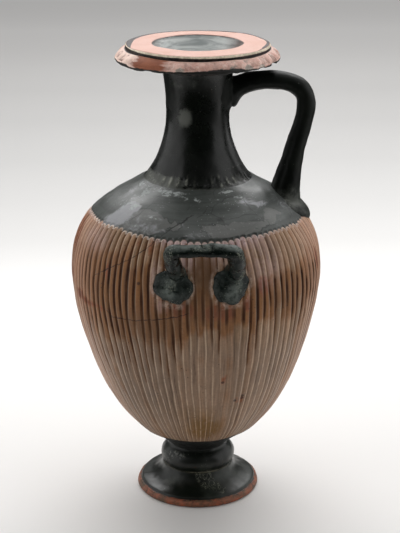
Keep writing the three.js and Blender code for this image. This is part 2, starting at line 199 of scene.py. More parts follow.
@dataclass(frozen=True)
class Spot:
    """A soft oval patch on a wall.

    Attributes:
        azimuth: Its middle, in degrees from the front.
        height: Its middle's height, in millimetres.
        wide: Half its width, in millimetres.
        tall: Half its height, in millimetres.
        strength: Its value in the middle.
    """

    azimuth: float
    height: float
    wide: float
    tall: float
    strength: float = 1.0

    def at(self, points: Array) -> Array:
        """Gives strength·exp(-across⁴ - along⁴), flat in the middle and soft at the edge."""
        turn = azimuth_of(points) - math.radians(self.azimuth)
        turn = np.arctan2(np.sin(turn), np.cos(turn))
        across = turn * np.hypot(points[..., 0], points[..., 1]) / self.wide
        along = (points[..., 2] - self.height) / self.tall
        return self.strength * np.exp(-((across**2 + along**2) ** 2))


def painted(points: Array, spots: Sequence[Spot]) -> Array:
    """Adds up spots, each through its own formula, and keeps the sum from 0 to 1."""
    total = np.zeros(points.shape[:-1])
    for spot in spots:
        total += spot.at(points)
    return np.clip(total, 0.0, 1.0)


@dataclass(frozen=True)
class Crack:
    """A crack that runs over a wall through a few places.

    Attributes:
        places: Azimuth in degrees and height in millimetres of each bend.
        fade: How far past its ends the crack fades out.
    """

    places: tuple[Point, ...]
    fade: float = 2.5

    def at(self, points: Array, wall: "Wall") -> tuple[Array, Array]:
        """Measures how far each point lies beside the crack.

        The nearest stretch is taken, and the distance is measured along the wall, square to
        the stretch, with a sign for the side, so that it passes smoothly through nought.

        Args:
            points: Places on the wall.
            wall: The wall, which the bends lie on.

        Returns:
            The signed distance, and 1 beside the crack falling to 0 past its ends.
        """
        heights = np.array([place[1] for place in self.places])
        bends = around(np.radians([place[0] for place in self.places]), wall.radius(heights), heights)
        nearest = np.full(points.shape[:-1], np.inf)
        beside = np.full(points.shape[:-1], CRACK_SIDE)
        reach = np.zeros(points.shape[:-1])
        last = len(bends) - 2
        for index, (start, end) in enumerate(zip(bends[:-1], bends[1:])):
            way = end - start
            share = (points - start) @ way / (way @ way)
            off = np.linalg.norm(points - start - np.clip(share, 0, 1)[..., None] * way, axis=-1)
            outward = (start + end) / 2 * np.array([1, 1, 0])
            square = np.cross(way, outward)
            signed = (points - start) @ (square / np.linalg.norm(square))
            before = -share if index == 0 else np.zeros_like(share)
            after = share - 1 if index == last else np.zeros_like(share)
            past = np.maximum(np.maximum(before, after), 0) * np.linalg.norm(way)
            closer = off < nearest
            nearest = np.where(closer, off, nearest)
            beside = np.where(closer, signed, beside)
            reach = np.where(closer, 1 - smooth_step(past, 0.0, self.fade), reach)
        return np.clip(beside, -CRACK_SIDE, CRACK_SIDE), reach


class Wall:
    """The outer wall of the body and the neck, as a table of radius over height."""

    def __init__(self, curves: Sequence[Sequence[Point]]) -> None:
        """Samples the profile curves, which follow each other upwards, into one table."""
        shares = np.linspace(0, 1, 400)
        self.table = np.concatenate([bezier(curve, shares)[:-1] for curve in curves])
        self.leans = np.gradient(self.table[:, 0]) / np.gradient(self.table[:, 1])

    def radius(self, height: Array) -> Array:
        """Gives the wall's radius at a height."""
        return np.interp(height, self.table[:, 1], self.table[:, 0])

    def stand_off(self, height: Array, distance: Array) -> Array:
        """Gives the radius of a surface that stands a distance square off the wall."""
        lean = np.clip(np.interp(height, self.table[:, 1], self.leans), -4, 4)
        return self.radius(height) + distance * np.hypot(1, lean)

    def lining(self, step: int, thickness: float) -> Array:
        """Gives one in every few of the table's rows, from the top down, moved inwards."""
        rows = self.table[::-step]
        tangent = np.gradient(rows, axis=0)
        tangent /= np.hypot(*tangent.T)[:, None]
        return rows + thickness * np.stack([tangent[:, 1], -tangent[:, 0]], axis=1)


@dataclass
class Skin:
    """A closed surface as arrays, in millimetres.

    Attributes:
        points: The vertices.
        faces: Four vertices a face, and three for those at the poles.
        marks: One number a vertex under each name, for the finishes.
    """

    points: Array
    faces: list[Array]
    marks: dict[str, Array] = field(default_factory=dict)

    @classmethod
    def wrapped(cls, rows: Array, poles: Sequence[Array] = (), joined: bool = False) -> "Skin":
        """Joins rows of points that run right-handed round the way in which the rows go.

        Args:
            rows: Rows, columns and three coordinates. Each row closes on itself.
            poles: A point that closes the first row and one that closes the last.
            joined: Whether the last row joins the first instead.

        Returns:
            The closed skin, with its faces outwards.
        """
        count, columns = rows.shape[:2]
        here = np.arange(count * columns).reshape(count, columns)
        if joined:
            here = np.concatenate([here, here[:1]])
        there = np.roll(here, -1, axis=1)
        quads = np.stack([here[:-1], there[:-1], there[1:], here[1:]], axis=-1).reshape(-1, 4)
        points, faces = [rows.reshape(-1, 3)], [quads]
        if len(poles):
            first, last = count * columns, count * columns + 1
            points.append(np.array(poles, float))
            faces.append(np.stack([np.full(columns, first), there[0], here[0]], axis=-1))
            faces.append(np.stack([np.full(columns, last), here[-1], there[-1]], axis=-1))
        return cls(np.concatenate(points), faces)

    def mark(self, name: str, values: Array) -> None:
        """Keeps a number for each vertex. Poles, which the values leave out, get their mean."""
        flat = np.asarray(values, float).ravel()
        spare = len(self.points) - len(flat)
        self.marks[name] = np.concatenate([flat, np.full(spare, flat.mean())])

    def mesh(self, name: str) -> bpy.types.Mesh:
        """Puts the arrays into a smooth-shaded mesh, in metres."""
        mesh = bpy.data.meshes.new(name)
        loops = np.concatenate([part.ravel() for part in self.faces])
        sizes = np.concatenate([np.full(len(part), part.shape[1]) for part in self.faces])
        starts = np.concatenate([[0], np.cumsum(sizes)[:-1]])
        mesh.vertices.add(len(self.points))
        mesh.vertices.foreach_set("co", (self.points * MM).astype(np.float32).ravel())
        mesh.loops.add(len(loops))
        mesh.loops.foreach_set("vertex_index", loops.astype(np.int32))
        mesh.polygons.add(len(sizes))
        mesh.polygons.foreach_set("loop_start", starts.astype(np.int32))
        mesh.polygons.foreach_set("use_smooth", np.ones(len(sizes), bool))
        mesh.update(calc_edges=True)
        for title, values in self.marks.items():
            layer = mesh.attributes.new(title, "FLOAT", "POINT")
            layer.data.foreach_set("value", values.astype(np.float32))
        return mesh


def revolved(profile: Array, azimuths: Array, relief: Array | float = 0.0) -> Array:
    """Turns a profile about the axis, moved along its own outward normal by a relief.

    The normal of a profile that goes up is its tangent turned a quarter to the right.

    Args:
        profile: Radius and height of each row.
        azimuths: One for each column, or one for each row and column.
        relief: How far each point stands out, in millimetres.

    Returns:
        Rows, columns and three coordinates.
    """
    tangent = np.gradient(profile, axis=0)
    tangent /= np.maximum(np.hypot(*tangent.T), 1e-9)[:, None]
    azimuths = np.broadcast_to(azimuths, (len(profile), np.shape(azimuths)[-1]))
    relief = np.broadcast_to(relief, azimuths.shape)
    radius = profile[:, :1] + relief * tangent[:, 1:]
    height = profile[:, 1:] - relief * tangent[:, :1]
    return around(azimuths, radius, height)


def spread(columns: int) -> Array:
    """Gives even azimuths for the columns of a wheel-turned piece, from the front round."""
    return 2 * np.pi * np.arange(columns) / columns


def tube(path: Array, half_width: Array, half_thickness: Array, side_way: Array, sides: int) -> Skin:
    """Carries an oval along a path, with a pole at each end.

    Each section spans the side way, made square to the path, and what is square to both.

    Args:
        path: The centre line's points.
        half_width: Half the oval's width at each point.
        half_thickness: Half its thickness at each point.
        side_way: The way that the width follows.
        sides: Points round each oval.

    Returns:
        The closed tube.
    """
    tangent = np.gradient(path, axis=0)
    tangent /= np.linalg.norm(tangent, axis=1, keepdims=True)
    side = side_way - (tangent @ side_way)[:, None] * tangent
    side /= np.linalg.norm(side, axis=1, keepdims=True)
    across = np.cross(tangent, side)
    turn = spread(sides)
    rows = (path[:, None]
            + half_width[:, None, None] * np.cos(turn)[None, :, None] * side[:, None]
            + half_thickness[:, None, None] * np.sin(turn)[None, :, None] * across[:, None])
    return Skin.wrapped(rows, (path[0], path[-1]))


@dataclass
class ClayPad:
    """A lump of clay pressed on the wall: its back follows the wall, and its face swells.

    Attributes:
        azimuth: Its middle, in degrees from the front.
        height: Its middle's height.
        width: Its size along the wall.
        tall: Its size up the wall.
        thickness: How far its middle stands off the wall.
        ragged: How far its outline wanders, as a share of its size.
        seed: Picks the outline.
        sink: How far its back lies inside the wall.
        edge: How thick it is at its outline. Below nought, it comes up out of the wall.
        power: How the thickness falls from the middle: 0.5 is a round edge, 1 a low mound.
        sides: How many columns it has.
        rings: How many rings its back and its face have each.
    """

    azimuth: float
    height: float
    width: float
    tall: float
    thickness: float
    ragged: float
    seed: int
    sink: float = 1.6
    edge: float = 1.4
    power: float = 0.5
    sides: int = 96
    rings: int = 18

    def skin(self, wall: Wall) -> Skin:
        """Builds the pad on polar rings: thickness is edge + (full - edge)·(1 - reach²)^power.

        Args:
            wall: What the pad is pressed on.

        Returns:
            The closed pad.
        """
        turn = spread(self.sides)
        draw = np.random.default_rng(self.seed)
        outline = np.ones(self.sides)
        for wave in (2, 3, 5, 8, 13):
            outline += self.ragged / math.sqrt(wave) * np.sin(wave * turn + draw.uniform(0, 2 * np.pi))
        reach = np.sin(np.linspace(0, np.pi / 2, self.rings + 1)[1:])
        rises = self.edge + (self.thickness - self.edge) * np.maximum(1 - reach**2, 0) ** self.power
        rows = [self.ring(wall, share, turn, outline, -self.sink) for share in reach]
        rows += [self.ring(wall, share, turn, outline, rise) for share, rise in zip(reach[::-1], rises[::-1])]
        ends = (-self.sink, self.thickness)
        poles = [self.ring(wall, 0.0, turn[:1], outline[:1], rise)[0] for rise in ends]
        return Skin.wrapped(np.array(rows), poles)

    def ring(self, wall: Wall, reach: float, turn: Array, outline: Array, rise: float) -> Array:
        """Gives one ring of the pad at a share of its outline, a distance off the wall."""
        across = reach * outline * np.cos(turn) * self.width / 2
        height = self.height + reach * outline * np.sin(turn) * self.tall / 2
        azimuth = math.radians(self.azimuth) + across / wall.radius(np.array(self.height))
        return around(azimuth, wall.stand_off(height, np.array(rise)), height)


def luted(name: str, parts: Sequence[Skin], voxel: float, soften: int) -> Skin:
    """Joins overlapping clay parts into one skin with soft fillets, as slip and fingers do.

    The parts go into one mesh, whose voxel remesh keeps only the outside, and each smoothing
    pass moves every vertex half way to the mean of its neighbours.

    Args:
        name: The name of the scratch object.
        parts: Closed skins that overlap.
        voxel: The remesh's grid, in millimetres.
        soften: The smoothing passes.

    Returns:
        The joined skin, in millimetres.
    """
    faces, offset = [], 0
    for part in parts:
        faces += [block + offset for block in part.faces]
        offset += len(part.points)
    together = Skin(np.concatenate([part.points for part in parts]), faces)
    scratch = bpy.data.objects.new(name, together.mesh(name))
    bpy.context.scene.collection.objects.link(scratch)
    remesh = scratch.modifiers.new("join", "REMESH")
    remesh.mode = "VOXEL"
    remesh.voxel_size = voxel * MM
    smooth = scratch.modifiers.new("fillet", "SMOOTH")
    smooth.factor = 0.5
    smooth.iterations = soften
    mesh = bpy.data.meshes.new_from_object(scratch.evaluated_get(bpy.context.evaluated_depsgraph_get()))
    points = np.empty(len(mesh.vertices) * 3, np.float32)
    mesh.vertices.foreach_get("co", points)
    corners = np.empty(len(mesh.loops), np.int32)
    mesh.loops.foreach_get("vertex_index", corners)
    starts = np.empty(len(mesh.polygons), np.int32)
    mesh.polygons.foreach_get("loop_start", starts)
    sizes = np.diff(np.append(starts, len(corners)))
    blocks = [corners[starts[sizes == size][:, None] + np.arange(size)] for size in np.unique(sizes)]
    bpy.data.objects.remove(scratch)
    bpy.data.meshes.remove(mesh)
    return Skin(points.reshape(-1, 3).astype(float) / MM, blocks)


def outward_ways(skin: Skin) -> Array:
    """Gives each vertex the mean of its faces' normals, weighted by their area."""
    ways = np.zeros_like(skin.points)
    for block in skin.faces:
        corner = skin.points[block]
        normal = np.cross(corner[:, 1] - corner[:, 0], corner[:, 2] - corner[:, 0])
        for k in range(block.shape[1]):
            np.add.at(ways, block[:, k], normal)
    return ways / np.maximum(np.linalg.norm(ways, axis=1, keepdims=True), 1e-9)


class Painter:
    """Lays out the nodes of one material. Each method adds a node and gives its output."""

    def __init__(self, name: str) -> None:
        """Starts an empty material with its Object coordinates at hand."""
        self.material = bpy.data.materials.new(name)
        self.material.use_nodes = True
        self.tree = self.material.node_tree
        self.tree.nodes.clear()
        self.place = self.node("ShaderNodeTexCoord").outputs["Object"]

    def node(self, kind: str, **settings: object) -> bpy.types.Node:
        """Adds a node of a kind, with settings."""
        made = self.tree.nodes.new(kind)
        for name, value in settings.items():
            setattr(made, name, value)
        return made

    def feed(self, socket: Socket, value: object) -> None:
        """Links an output to a socket, or sets the socket to a number or colour."""
        if isinstance(value, bpy.types.NodeSocket):
            self.tree.links.new(value, socket)
        elif isinstance(value, tuple) and len(value) == 3 and socket.type == "RGBA":
            socket.default_value = (*value, 1.0)
        else:
            socket.default_value = value

    def math(self, operation: str, first: object, second: object = 0.0) -> Socket:
        """Works out one step of arithmetic."""
        made = self.node("ShaderNodeMath", operation=operation)
        self.feed(made.inputs[0], first)
        self.feed(made.inputs[1], second)
        return made.outputs[0]

    def add(self, first: object, second: object) -> Socket:
        """Adds two numbers."""
        return self.math("ADD", first, second)

    def swing(self, value: object, reach: float) -> Socket:
        """Moves a value from around a half to around nought, and scales it to a reach."""
        return self.times(self.math("SUBTRACT", value, 0.5), reach)

    def times(self, *factors: object) -> Socket:
        """Multiplies masks and numbers together."""
        total = factors[0]
        for factor in factors[1:]:
            total = self.math("MULTIPLY", total, factor)
        return total

    def inverse(self, value: object) -> Socket:
        """Gives 1 less a value."""
        return self.math("SUBTRACT", 1.0, value)

    def band(self, value: object, low: float, high: float, start: float = 0.0, end: float = 1.0) -> Socket:
        """Rises smoothly from start to end as a value goes from low to high."""
        made = self.node("ShaderNodeMapRange", interpolation_type="SMOOTHSTEP")
        for slot, number in zip(made.inputs, (value, low, high, start, end)):
            self.feed(slot, number)
        return made.outputs[0]

    def mark(self, name: str) -> Socket:
        """Reads a number that the mesh keeps for each vertex."""
        return self.node("ShaderNodeAttribute", attribute_name=name).outputs["Fac"]

    def noise(self, scale: float, detail: float = 4.0, rough: float = 0.55, bend: float = 0.0,
              place: object = None) -> Socket:
        """Gives cloudy noise from 0 to 1, of about scale clouds to the metre."""
        made = self.node("ShaderNodeTexNoise")
        self.feed(made.inputs["Vector"], place or self.place)
        made.inputs["Scale"].default_value = scale
        made.inputs["Detail"].default_value = detail
        made.inputs["Roughness"].default_value = rough
        made.inputs["Distortion"].default_value = bend
        return made.outputs[0]

    def stretched(self, scale: tuple[float, float, float], detail: float, rough: float,
                  bend: float = 0.0) -> Socket:
        """Gives noise with its own scale along each axis."""
        made = self.node("ShaderNodeMapping")
        self.feed(made.inputs["Vector"], self.place)
        made.inputs["Scale"].default_value = scale
        return self.noise(1, detail, rough, bend, made.outputs[0])

    def patches(self, low: float, high: float, scale: float, detail: float = 4.0,
                rough: float = 0.55) -> Socket:
        """Gives soft-edged patches, where noise rises through two of its levels."""
        return self.band(self.noise(scale, detail, rough), low, high)

    def marked(self, name: str, share: float, low: float, high: float, scale: float,
               detail: float = 4.0, rough: float = 0.55) -> Socket:
        """Gives a share of one of the mesh's marks, broken up into patches."""
        return self.times(self.mark(name), self.patches(low, high, scale, detail, rough), share)

    def specks(self, scale: float, low: float, high: float) -> Socket:
        """Gives round specks in scattered cells, which fade between two shares of a cell."""
        return self.inverse(self.band(self.cells(scale), low, high))

    def cells(self, scale: float, feature: str = "F1", bent: float = 0.0) -> Socket:
        """Gives the distance within scattered cells, or to their edges."""
        made = self.node("ShaderNodeTexVoronoi", feature=feature)
        made.inputs["Scale"].default_value = scale
        if bent:
            shift = self.node("ShaderNodeVectorMath", operation="ADD")
            cloud = self.node("ShaderNodeTexNoise")
            self.feed(cloud.inputs["Vector"], self.place)
            cloud.inputs["Scale"].default_value = scale
            scaled = self.node("ShaderNodeVectorMath", operation="SCALE")
            self.feed(scaled.inputs[0], cloud.outputs["Color"])
            scaled.inputs["Scale"].default_value = bent
            self.feed(shift.inputs[0], self.place)
            self.feed(shift.inputs[1], scaled.outputs[0])
            self.feed(made.inputs["Vector"], shift.outputs[0])
        else:
            self.feed(made.inputs["Vector"], self.place)
        return made.outputs["Distance"]

    def mix(self, share: object, first: object, second: object) -> Socket:
        """Mixes two colours, the second by a share."""
        made = self.node("ShaderNodeMix", data_type="RGBA")
        self.feed(made.inputs[0], share)
        self.feed(made.inputs[6], first)
        self.feed(made.inputs[7], second)
        return made.outputs[2]

    def blend(self, share: object, first: object, second: object) -> Socket:
        """Mixes two numbers, the second by a share."""
        made = self.node("ShaderNodeMix", data_type="FLOAT")
        self.feed(made.inputs[0], share)
        self.feed(made.inputs[2], first)
        self.feed(made.inputs[3], second)
        return made.outputs[0]

    def shade(self, colour: object, value: object) -> Socket:
        """Multiplies a colour's brightness by a value."""
        made = self.node("ShaderNodeHueSaturation")
        self.feed(made.inputs["Value"], value)
        self.feed(made.inputs["Color"], colour)
        return made.outputs[0]

    def bump(self, height: object, depth: float, before: Socket | None = None) -> Socket:
        """Tilts the normal by a height whose full range stands for a depth in millimetres."""
        made = self.node("ShaderNodeBump")
        made.inputs["Strength"].default_value = 1.0
        made.inputs["Distance"].default_value = depth * MM
        self.feed(made.inputs["Height"], height)
        if before is not None:
            self.feed(made.inputs["Normal"], before)
        return made.outputs[0]

    def finish(self, colour: object, roughness: object, normal: Socket | None = None,
               **numbers: float) -> bpy.types.Material:
        """Ends the material in a principled shader.

        Args:
            colour: Its base colour.
            roughness: Its roughness.
            normal: Its bumped normal, if it has one.
            **numbers: Plain numbers for other sockets, named with _ for each space.

        Returns:
            The material.
        """
        shader = self.node("ShaderNodeBsdfPrincipled")
        self.feed(shader.inputs["Base Color"], colour)
        self.feed(shader.inputs["Roughness"], roughness)
        if normal is not None:
            self.feed(shader.inputs["Normal"], normal)
        for name, number in numbers.items():
            shader.inputs[name.replace("_", " ")].default_value = number
        self.output(shader.outputs[0])
        return self.material

    def output(self, shader: Socket) -> None:
        """Makes a shader the material's surface."""
        ending = self.node("ShaderNodeOutputMaterial")
        self.feed(ending.inputs["Surface"], shader)


def srgb(red: float, green: float, blue: float) -> Colour:
    """Turns screen values from 0 to 255 into the linear colour that a socket takes."""
    shares = [channel / 255 for channel in (red, green, blue)]
    return tuple(s / 12.92 if s <= 0.04045 else ((s + 0.055) / 1.055) ** 2.4 for s in shares)


@dataclass(frozen=True)
class BlackGlaze:
    """Fired black glaze: deep, a little green, with worn and dulled places.

    Attributes:
        name: The material's name.
        gloss: Its roughness where it is whole.
        dull: Its roughness where it is dulled.
        haze: How much grey haze lies on it.
        specks: How many pale specks it has.
        edge: The colour of a band with no glaze, where the mesh marks one.
        crazed: Whether pale cracks show where the mesh marks them.
        sheen: How strongly it mirrors, where 0.5 is what its index gives.
        deep: The glaze's own colour.
    """

    name: str
    gloss: float
    dull: float
    haze: float
    specks: float
    edge: Colour | None = None
    crazed: bool = False
    sheen: float = 0.5
    deep: Colour = srgb(12, 17, 11)

    grey: Colour = srgb(66, 72, 64)
    lime: Colour = srgb(172, 174, 166)
    film: Colour = srgb(112, 115, 108)
    stroke: Colour = srgb(176, 178, 166)
    seam: Colour = srgb(128, 130, 116)
    ring: Colour = srgb(126, 122, 104)
    soil: Colour = srgb(84, 68, 50)
    soot: Colour = srgb(54, 38, 30)
    rubbed: Colour = srgb(150, 96, 72)

    def build(self) -> bpy.types.Material:
        """Lays out the glaze: depth, haze, film, strokes, specks and lime, each from noise."""
        paint = Painter(self.name)
        hazy = paint.times(paint.patches(0.46, 0.66, 26, 5, 0.6), self.haze)
        colour = paint.mix(hazy, self.deep, self.grey)
        colour = paint.shade(colour, paint.band(paint.noise(240, 6, 0.65), 0.3, 0.75, 0.8, 1.25))
        crust = paint.marked("lime", 0.75, 0.5, 0.62, 330, 7, 0.7)
        ragged = paint.swing(paint.noise(110, 6, 0.7), 1.3)
        film = paint.mark("film")
        film = paint.times(film, paint.band(paint.add(film, ragged), 0.12, 0.5))
        colour = paint.mix(film, colour, self.film)
        colour = paint.mix(paint.marked("strokes", 0.8, 0.4, 0.58, 110, 5, 0.7), colour, self.stroke)
        where = paint.patches(0.62 - 0.12 * self.specks, 0.72, 90, 3)
        speck = paint.times(paint.specks(420, 0.05, 0.16), where)
        pale = paint.math("MAXIMUM", crust, paint.times(speck, 0.6))
        colour = paint.mix(pale, colour, self.lime)
        rough = paint.blend(paint.patches(0.4, 0.68, 38, 5, 0.65), self.gloss, self.dull)
        rough = paint.blend(film, rough, 0.55)
        rough = paint.blend(pale, rough, 0.8)
        if self.edge is not None:
            colour, rough = self.reserve(paint, colour, rough)
        if self.crazed:
            colour = self.craze(paint, colour)
        normal = paint.bump(paint.noise(70, 3, 0.5), 0.3)
        normal = paint.bump(paint.noise(600, 3, 0.5), 0.008, normal)
        normal = paint.bump(pale, 0.12, normal)
        return paint.finish(colour, rough, normal, IOR=1.5, Specular_IOR_Level=self.sheen)

    def craze(self, paint: Painter, colour: Socket) -> Socket:
        """Draws pale cracks where the mesh marks them, and a worn line in the turned groove."""
        seam = paint.inverse(paint.band(paint.cells(150, "DISTANCE_TO_EDGE", 0.02), 0.008, 0.035))
        spread_out = paint.math("SUBTRACT", paint.mark("crazed"), paint.noise(120, 5, 0.7))
        colour = paint.mix(paint.times(seam, paint.band(spread_out, 0.2, 0.5), 0.7), colour, self.seam)
        return paint.mix(paint.marked("turned_line", 0.6, 0.36, 0.55, 140, 4, 0.7), colour, self.ring)

    def reserve(self, paint: Painter, colour: Socket, rough: Socket) -> tuple[Socket, Socket]:
        """Leaves the marked band bare: red-brown clay, blotched, with a pale rubbed ridge."""
        bare = paint.add(paint.mark("bare"), paint.swing(paint.noise(180, 4), 1.2))
        bare = paint.band(bare, -0.15, 0.25)
        clay = paint.mix(paint.patches(0.38, 0.62, 70, 6, 0.7), self.edge, self.soil)
        clay = paint.mix(paint.patches(0.5, 0.68, 190, 6, 0.7), clay, self.soot)
        clay = paint.mix(paint.marked("ridge", 0.8, 0.4, 0.6, 120, 5, 0.7), clay, self.rubbed)
        return paint.mix(bare, colour, clay), paint.blend(bare, rough, 0.55)


@dataclass(frozen=True)
class RibbedSlip:
    """The body's finish: worn brown slip on the ribs, and satin black on the shoulder.

    Attributes:
        pits: Where single pits lie, in metres.
    """

    pits: tuple[tuple[float, ...], ...]
    name: str = "ribbed_body_finish"
    pit_reach: tuple[float, float] = (0.0011, 0.0021)

    crest: Colour = srgb(164, 133, 106)
    brown: Colour = srgb(128, 98, 68)
    even_brown: Colour = srgb(134, 110, 91)
    ochre: Colour = srgb(129, 83, 39)
    yellow: Colour = srgb(118, 84, 38)
    # Paler clay painted on the jar's sides, as painted light where the side lamps fall.
    flank: Colour = srgb(192, 150, 126)
    orange: Colour = srgb(138, 74, 38)
    burnt: Colour = srgb(118, 58, 28)
    red: Colour = srgb(140, 58, 42)
    pink: Colour = srgb(186, 160, 160)
    # Painted shade on each rib's flank away from the lamps, placed by the shaded mark.
    turned: Colour = srgb(104, 64, 26)
    groove: Colour = srgb(80, 43, 16)
    warm_groove: Colour = srgb(56, 27, 8)
    scratch: Colour = srgb(78, 50, 30)
    # A painted highlight: the pale line on each rib's lit edge.
    rubbed: Colour = srgb(204, 180, 154)
    # Dark brown for painted shade under and between the grip's plates.
    brown_shade: Colour = srgb(99, 67, 38)
    # A pale outline round the top of each tongue tip: worn pale clay, and a painted highlight where light
    # from above catches the rounded tip.
    arc: Colour = srgb(236, 224, 212)
    halo: Colour = srgb(206, 184, 168)
    pit: Colour = srgb(50, 26, 16)
    rib_crack: Colour = srgb(48, 22, 8)
    shoulder_crack: Colour = srgb(22, 22, 20)
    shoulder: Colour = srgb(66, 70, 67)
    dusty: Colour = srgb(96, 99, 97)
    worn_shoulder: Colour = srgb(112, 112, 109)
    border: Colour = srgb(26, 29, 27)
    dust: Colour = srgb(158, 159, 163)
    lime: Colour = srgb(172, 178, 176)
    hair: Colour = srgb(24, 26, 25)
    chip: Colour = srgb(12, 12, 11)
    under: Colour = srgb(14, 16, 13)

    def build(self) -> bpy.types.Material:
        """Joins the two halves of the finish along the marked outline of the ribs' tips."""
        paint = Painter(self.name)
        ribs = paint.add(paint.mark("zone"), paint.swing(paint.noise(700, 4), 0.5))
        ribs = paint.band(ribs, -0.05, 0.12)
        crack = self.crack_mask(paint)
        slip, slip_rough = self.slip(paint)
        black, black_rough = self.black(paint)
        colour = paint.mix(ribs, black, slip)
        cracked = paint.mix(ribs, self.shoulder_crack, self.rib_crack)
        colour = paint.mix(paint.times(crack, 0.92), colour, cracked)
        rough = paint.blend(ribs, black_rough, slip_rough)
        normal = paint.bump(paint.noise(60, 4, 0.5), 0.3)
        normal = paint.bump(paint.noise(240, 5, 0.6), 0.07, normal)
        normal = paint.bump(paint.noise(1100, 4, 0.6), 0.05, normal)
        normal = paint.bump(paint.inverse(crack), 0.12, normal)
        return paint.finish(colour, rough, normal, IOR=1.48)

    def crack_mask(self, paint: Painter) -> Socket:
        """Draws a thin dark line where the marked distance passes nought, with a slight wander."""
        wander = paint.swing(paint.noise(160, 5, 0.7), 4.4)
        off = paint.math("ABSOLUTE", paint.add(paint.mark("crack"), wander))
        width = paint.band(paint.noise(120, 3), 0.35, 0.7, 0.3, 0.75)
        line = paint.inverse(paint.band(paint.math("DIVIDE", off, width), 0.4, 1.1))
        return paint.times(line, paint.mark("crack_reach"))

    def grain(self, paint: Painter) -> Socket:
        """Gives noise in long thin streaks that follow the ribs, from the ribs' own turns and heights."""
        place = paint.node("ShaderNodeCombineXYZ")
        for socket, name in zip(place.inputs, ("grain_x", "grain_y", "grain_z")):
            paint.feed(socket, paint.mark(name))
        return paint.noise(1, 5, 0.65, place=place.outputs[0])

    def slip(self, paint: Painter) -> tuple[Socket, Socket]:
        """Colours the ribs: pale crests, dark grooves, a tone for each rib, stains and deposits, with painted
        highlights on lit edges, painted shade on the other flanks and in patches, and painted light on the
        jar's sides.
        """
        clog, tone, calm = paint.mark("clog"), paint.mark("tone"), paint.mark("calm")
        streaks = paint.stretched((210, 210, 24), 6, 0.6)
        worn = paint.band(paint.add(streaks, paint.times(tone, 0.22)), 0.36, 0.72)
        clouds = paint.math("SUBTRACT", paint.noise(38, 5, 0.65), 0.5)
        warm = paint.add(paint.times(clouds, 1.1), paint.times(tone, 0.4))
        warm = paint.band(paint.add(paint.mark("warm"), warm), 0.1, 0.8)
        body = paint.mix(worn, self.brown, self.crest)
        body = paint.mix(paint.times(calm, 0.7), body, self.even_brown)
        body = paint.mix(paint.times(warm, 0.95), body, self.ochre)
        body = paint.mix(paint.times(paint.mark("yellow"), paint.band(streaks, 0.2, 0.5)), body, self.yellow)
        # Painted light: the ribs are made paler on the jar's sides.
        body = paint.mix(paint.times(paint.mark("flank"), 0.6), body, self.flank)
        stain_edge = paint.add(paint.swing(streaks, 1.0), paint.times(tone, 0.12))
        body = self.stained(paint, body, stain_edge, clouds)
        pink = paint.marked("pink", 0.95, 0.25, 0.55, 130, 6, 0.6)
        body = paint.mix(pink, body, self.pink)
        # Painted shade: the ribs' brightness is lowered in patches.
        body = paint.shade(body, paint.inverse(paint.times(paint.mark("painted_shade"), 0.55)))
        uneven = paint.swing(streaks, 0.8)
        # Painted shade: the rib's flank away from the lamps is darkened, more where the groove is clogged.
        turned = paint.band(paint.add(paint.mark("shaded"), uneven), 0.1, 0.9)
        turned = paint.times(turned, paint.blend(clog, 0.1, 0.75), paint.blend(calm, 1.0, 0.7))
        body = paint.mix(turned, body, self.turned)
        dirt = paint.add(paint.mark("across"), paint.add(paint.times(warm, 0.3), paint.times(uneven, 0.25)))
        deep = paint.band(dirt, 0.74, 0.95)
        broken = paint.band(paint.stretched((260, 260, 30), 4, 0.6), 0.34, 0.56)
        body = paint.mix(paint.times(deep, clog, paint.blend(broken, 0.55, 1.0)), body,
                         paint.mix(warm, self.groove, self.warm_groove))
        fibre = self.grain(paint)
        body = paint.shade(body, paint.band(fibre, 0.34, 0.66, 0.8, 1.16))
        scratch = paint.times(paint.inverse(paint.band(fibre, 0.35, 0.41)), paint.blend(calm, 0.3, 0.6))
        body = paint.mix(scratch, body, self.scratch)
        # Painted highlight on each rib's lit edge, placed by the edge mark.
        rubbed = paint.times(paint.band(paint.mark("edge"), 0.5, 0.95), paint.blend(clog, 0.55, 0.4),
                             paint.blend(broken, paint.blend(calm, 0.4, 0.25), 1.0),
                             paint.blend(warm, 1.0, 0.5))
        body = paint.mix(rubbed, body, self.rubbed)
        # Painted shade: dark brown laid over the ribs under and between the grip's plates.
        brown_shade = paint.times(paint.mark("brown_shade"), paint.band(streaks, 0.15, 0.5), 0.9)
        body = paint.mix(brown_shade, body, self.brown_shade)
        body = paint.mix(paint.marked("lime", 1.0, 0.42, 0.56, 420, 6, 0.7), body, self.lime)
        # Worn pale outline and painted highlight on the tongue tips' top edges.
        body = paint.mix(paint.marked("arc", 0.95, 0.36, 0.52, 110, 5, 0.7), body, self.arc)
        body = paint.mix(paint.marked("halo", 1.0, 0.35, 0.6, 220, 5, 0.7), body, self.halo)
        body = paint.mix(paint.times(self.pitted(paint), 0.8), body, self.pit)
        body = paint.shade(body, paint.band(paint.noise(420, 5, 0.6), 0.25, 0.75, 0.9, 1.1))
        body = paint.mix(paint.band(paint.mark("under"), -0.4, 0.4), self.under, body)
        rough = paint.blend(paint.times(deep, clog), paint.blend(worn, 0.46, 0.64), 0.9)
        return body, paint.blend(pink, rough, 0.85)

    def stained(self, paint: Painter, body: Socket, uneven: Socket, clouds: Socket) -> Socket:
        """Lays the firing stains over the ribs in three stages, from orange to red."""
        stain = paint.add(paint.mark("stain"), paint.add(uneven, paint.times(clouds, 1.2)))
        for low, high, share, colour in ((0.3, 0.75, 0.8, self.orange), (0.7, 1.0, 0.85, self.burnt),
                                         (1.0, 1.35, 0.7, self.red)):
            body = paint.mix(paint.times(paint.band(stain, low, high), share), body, colour)
        return body

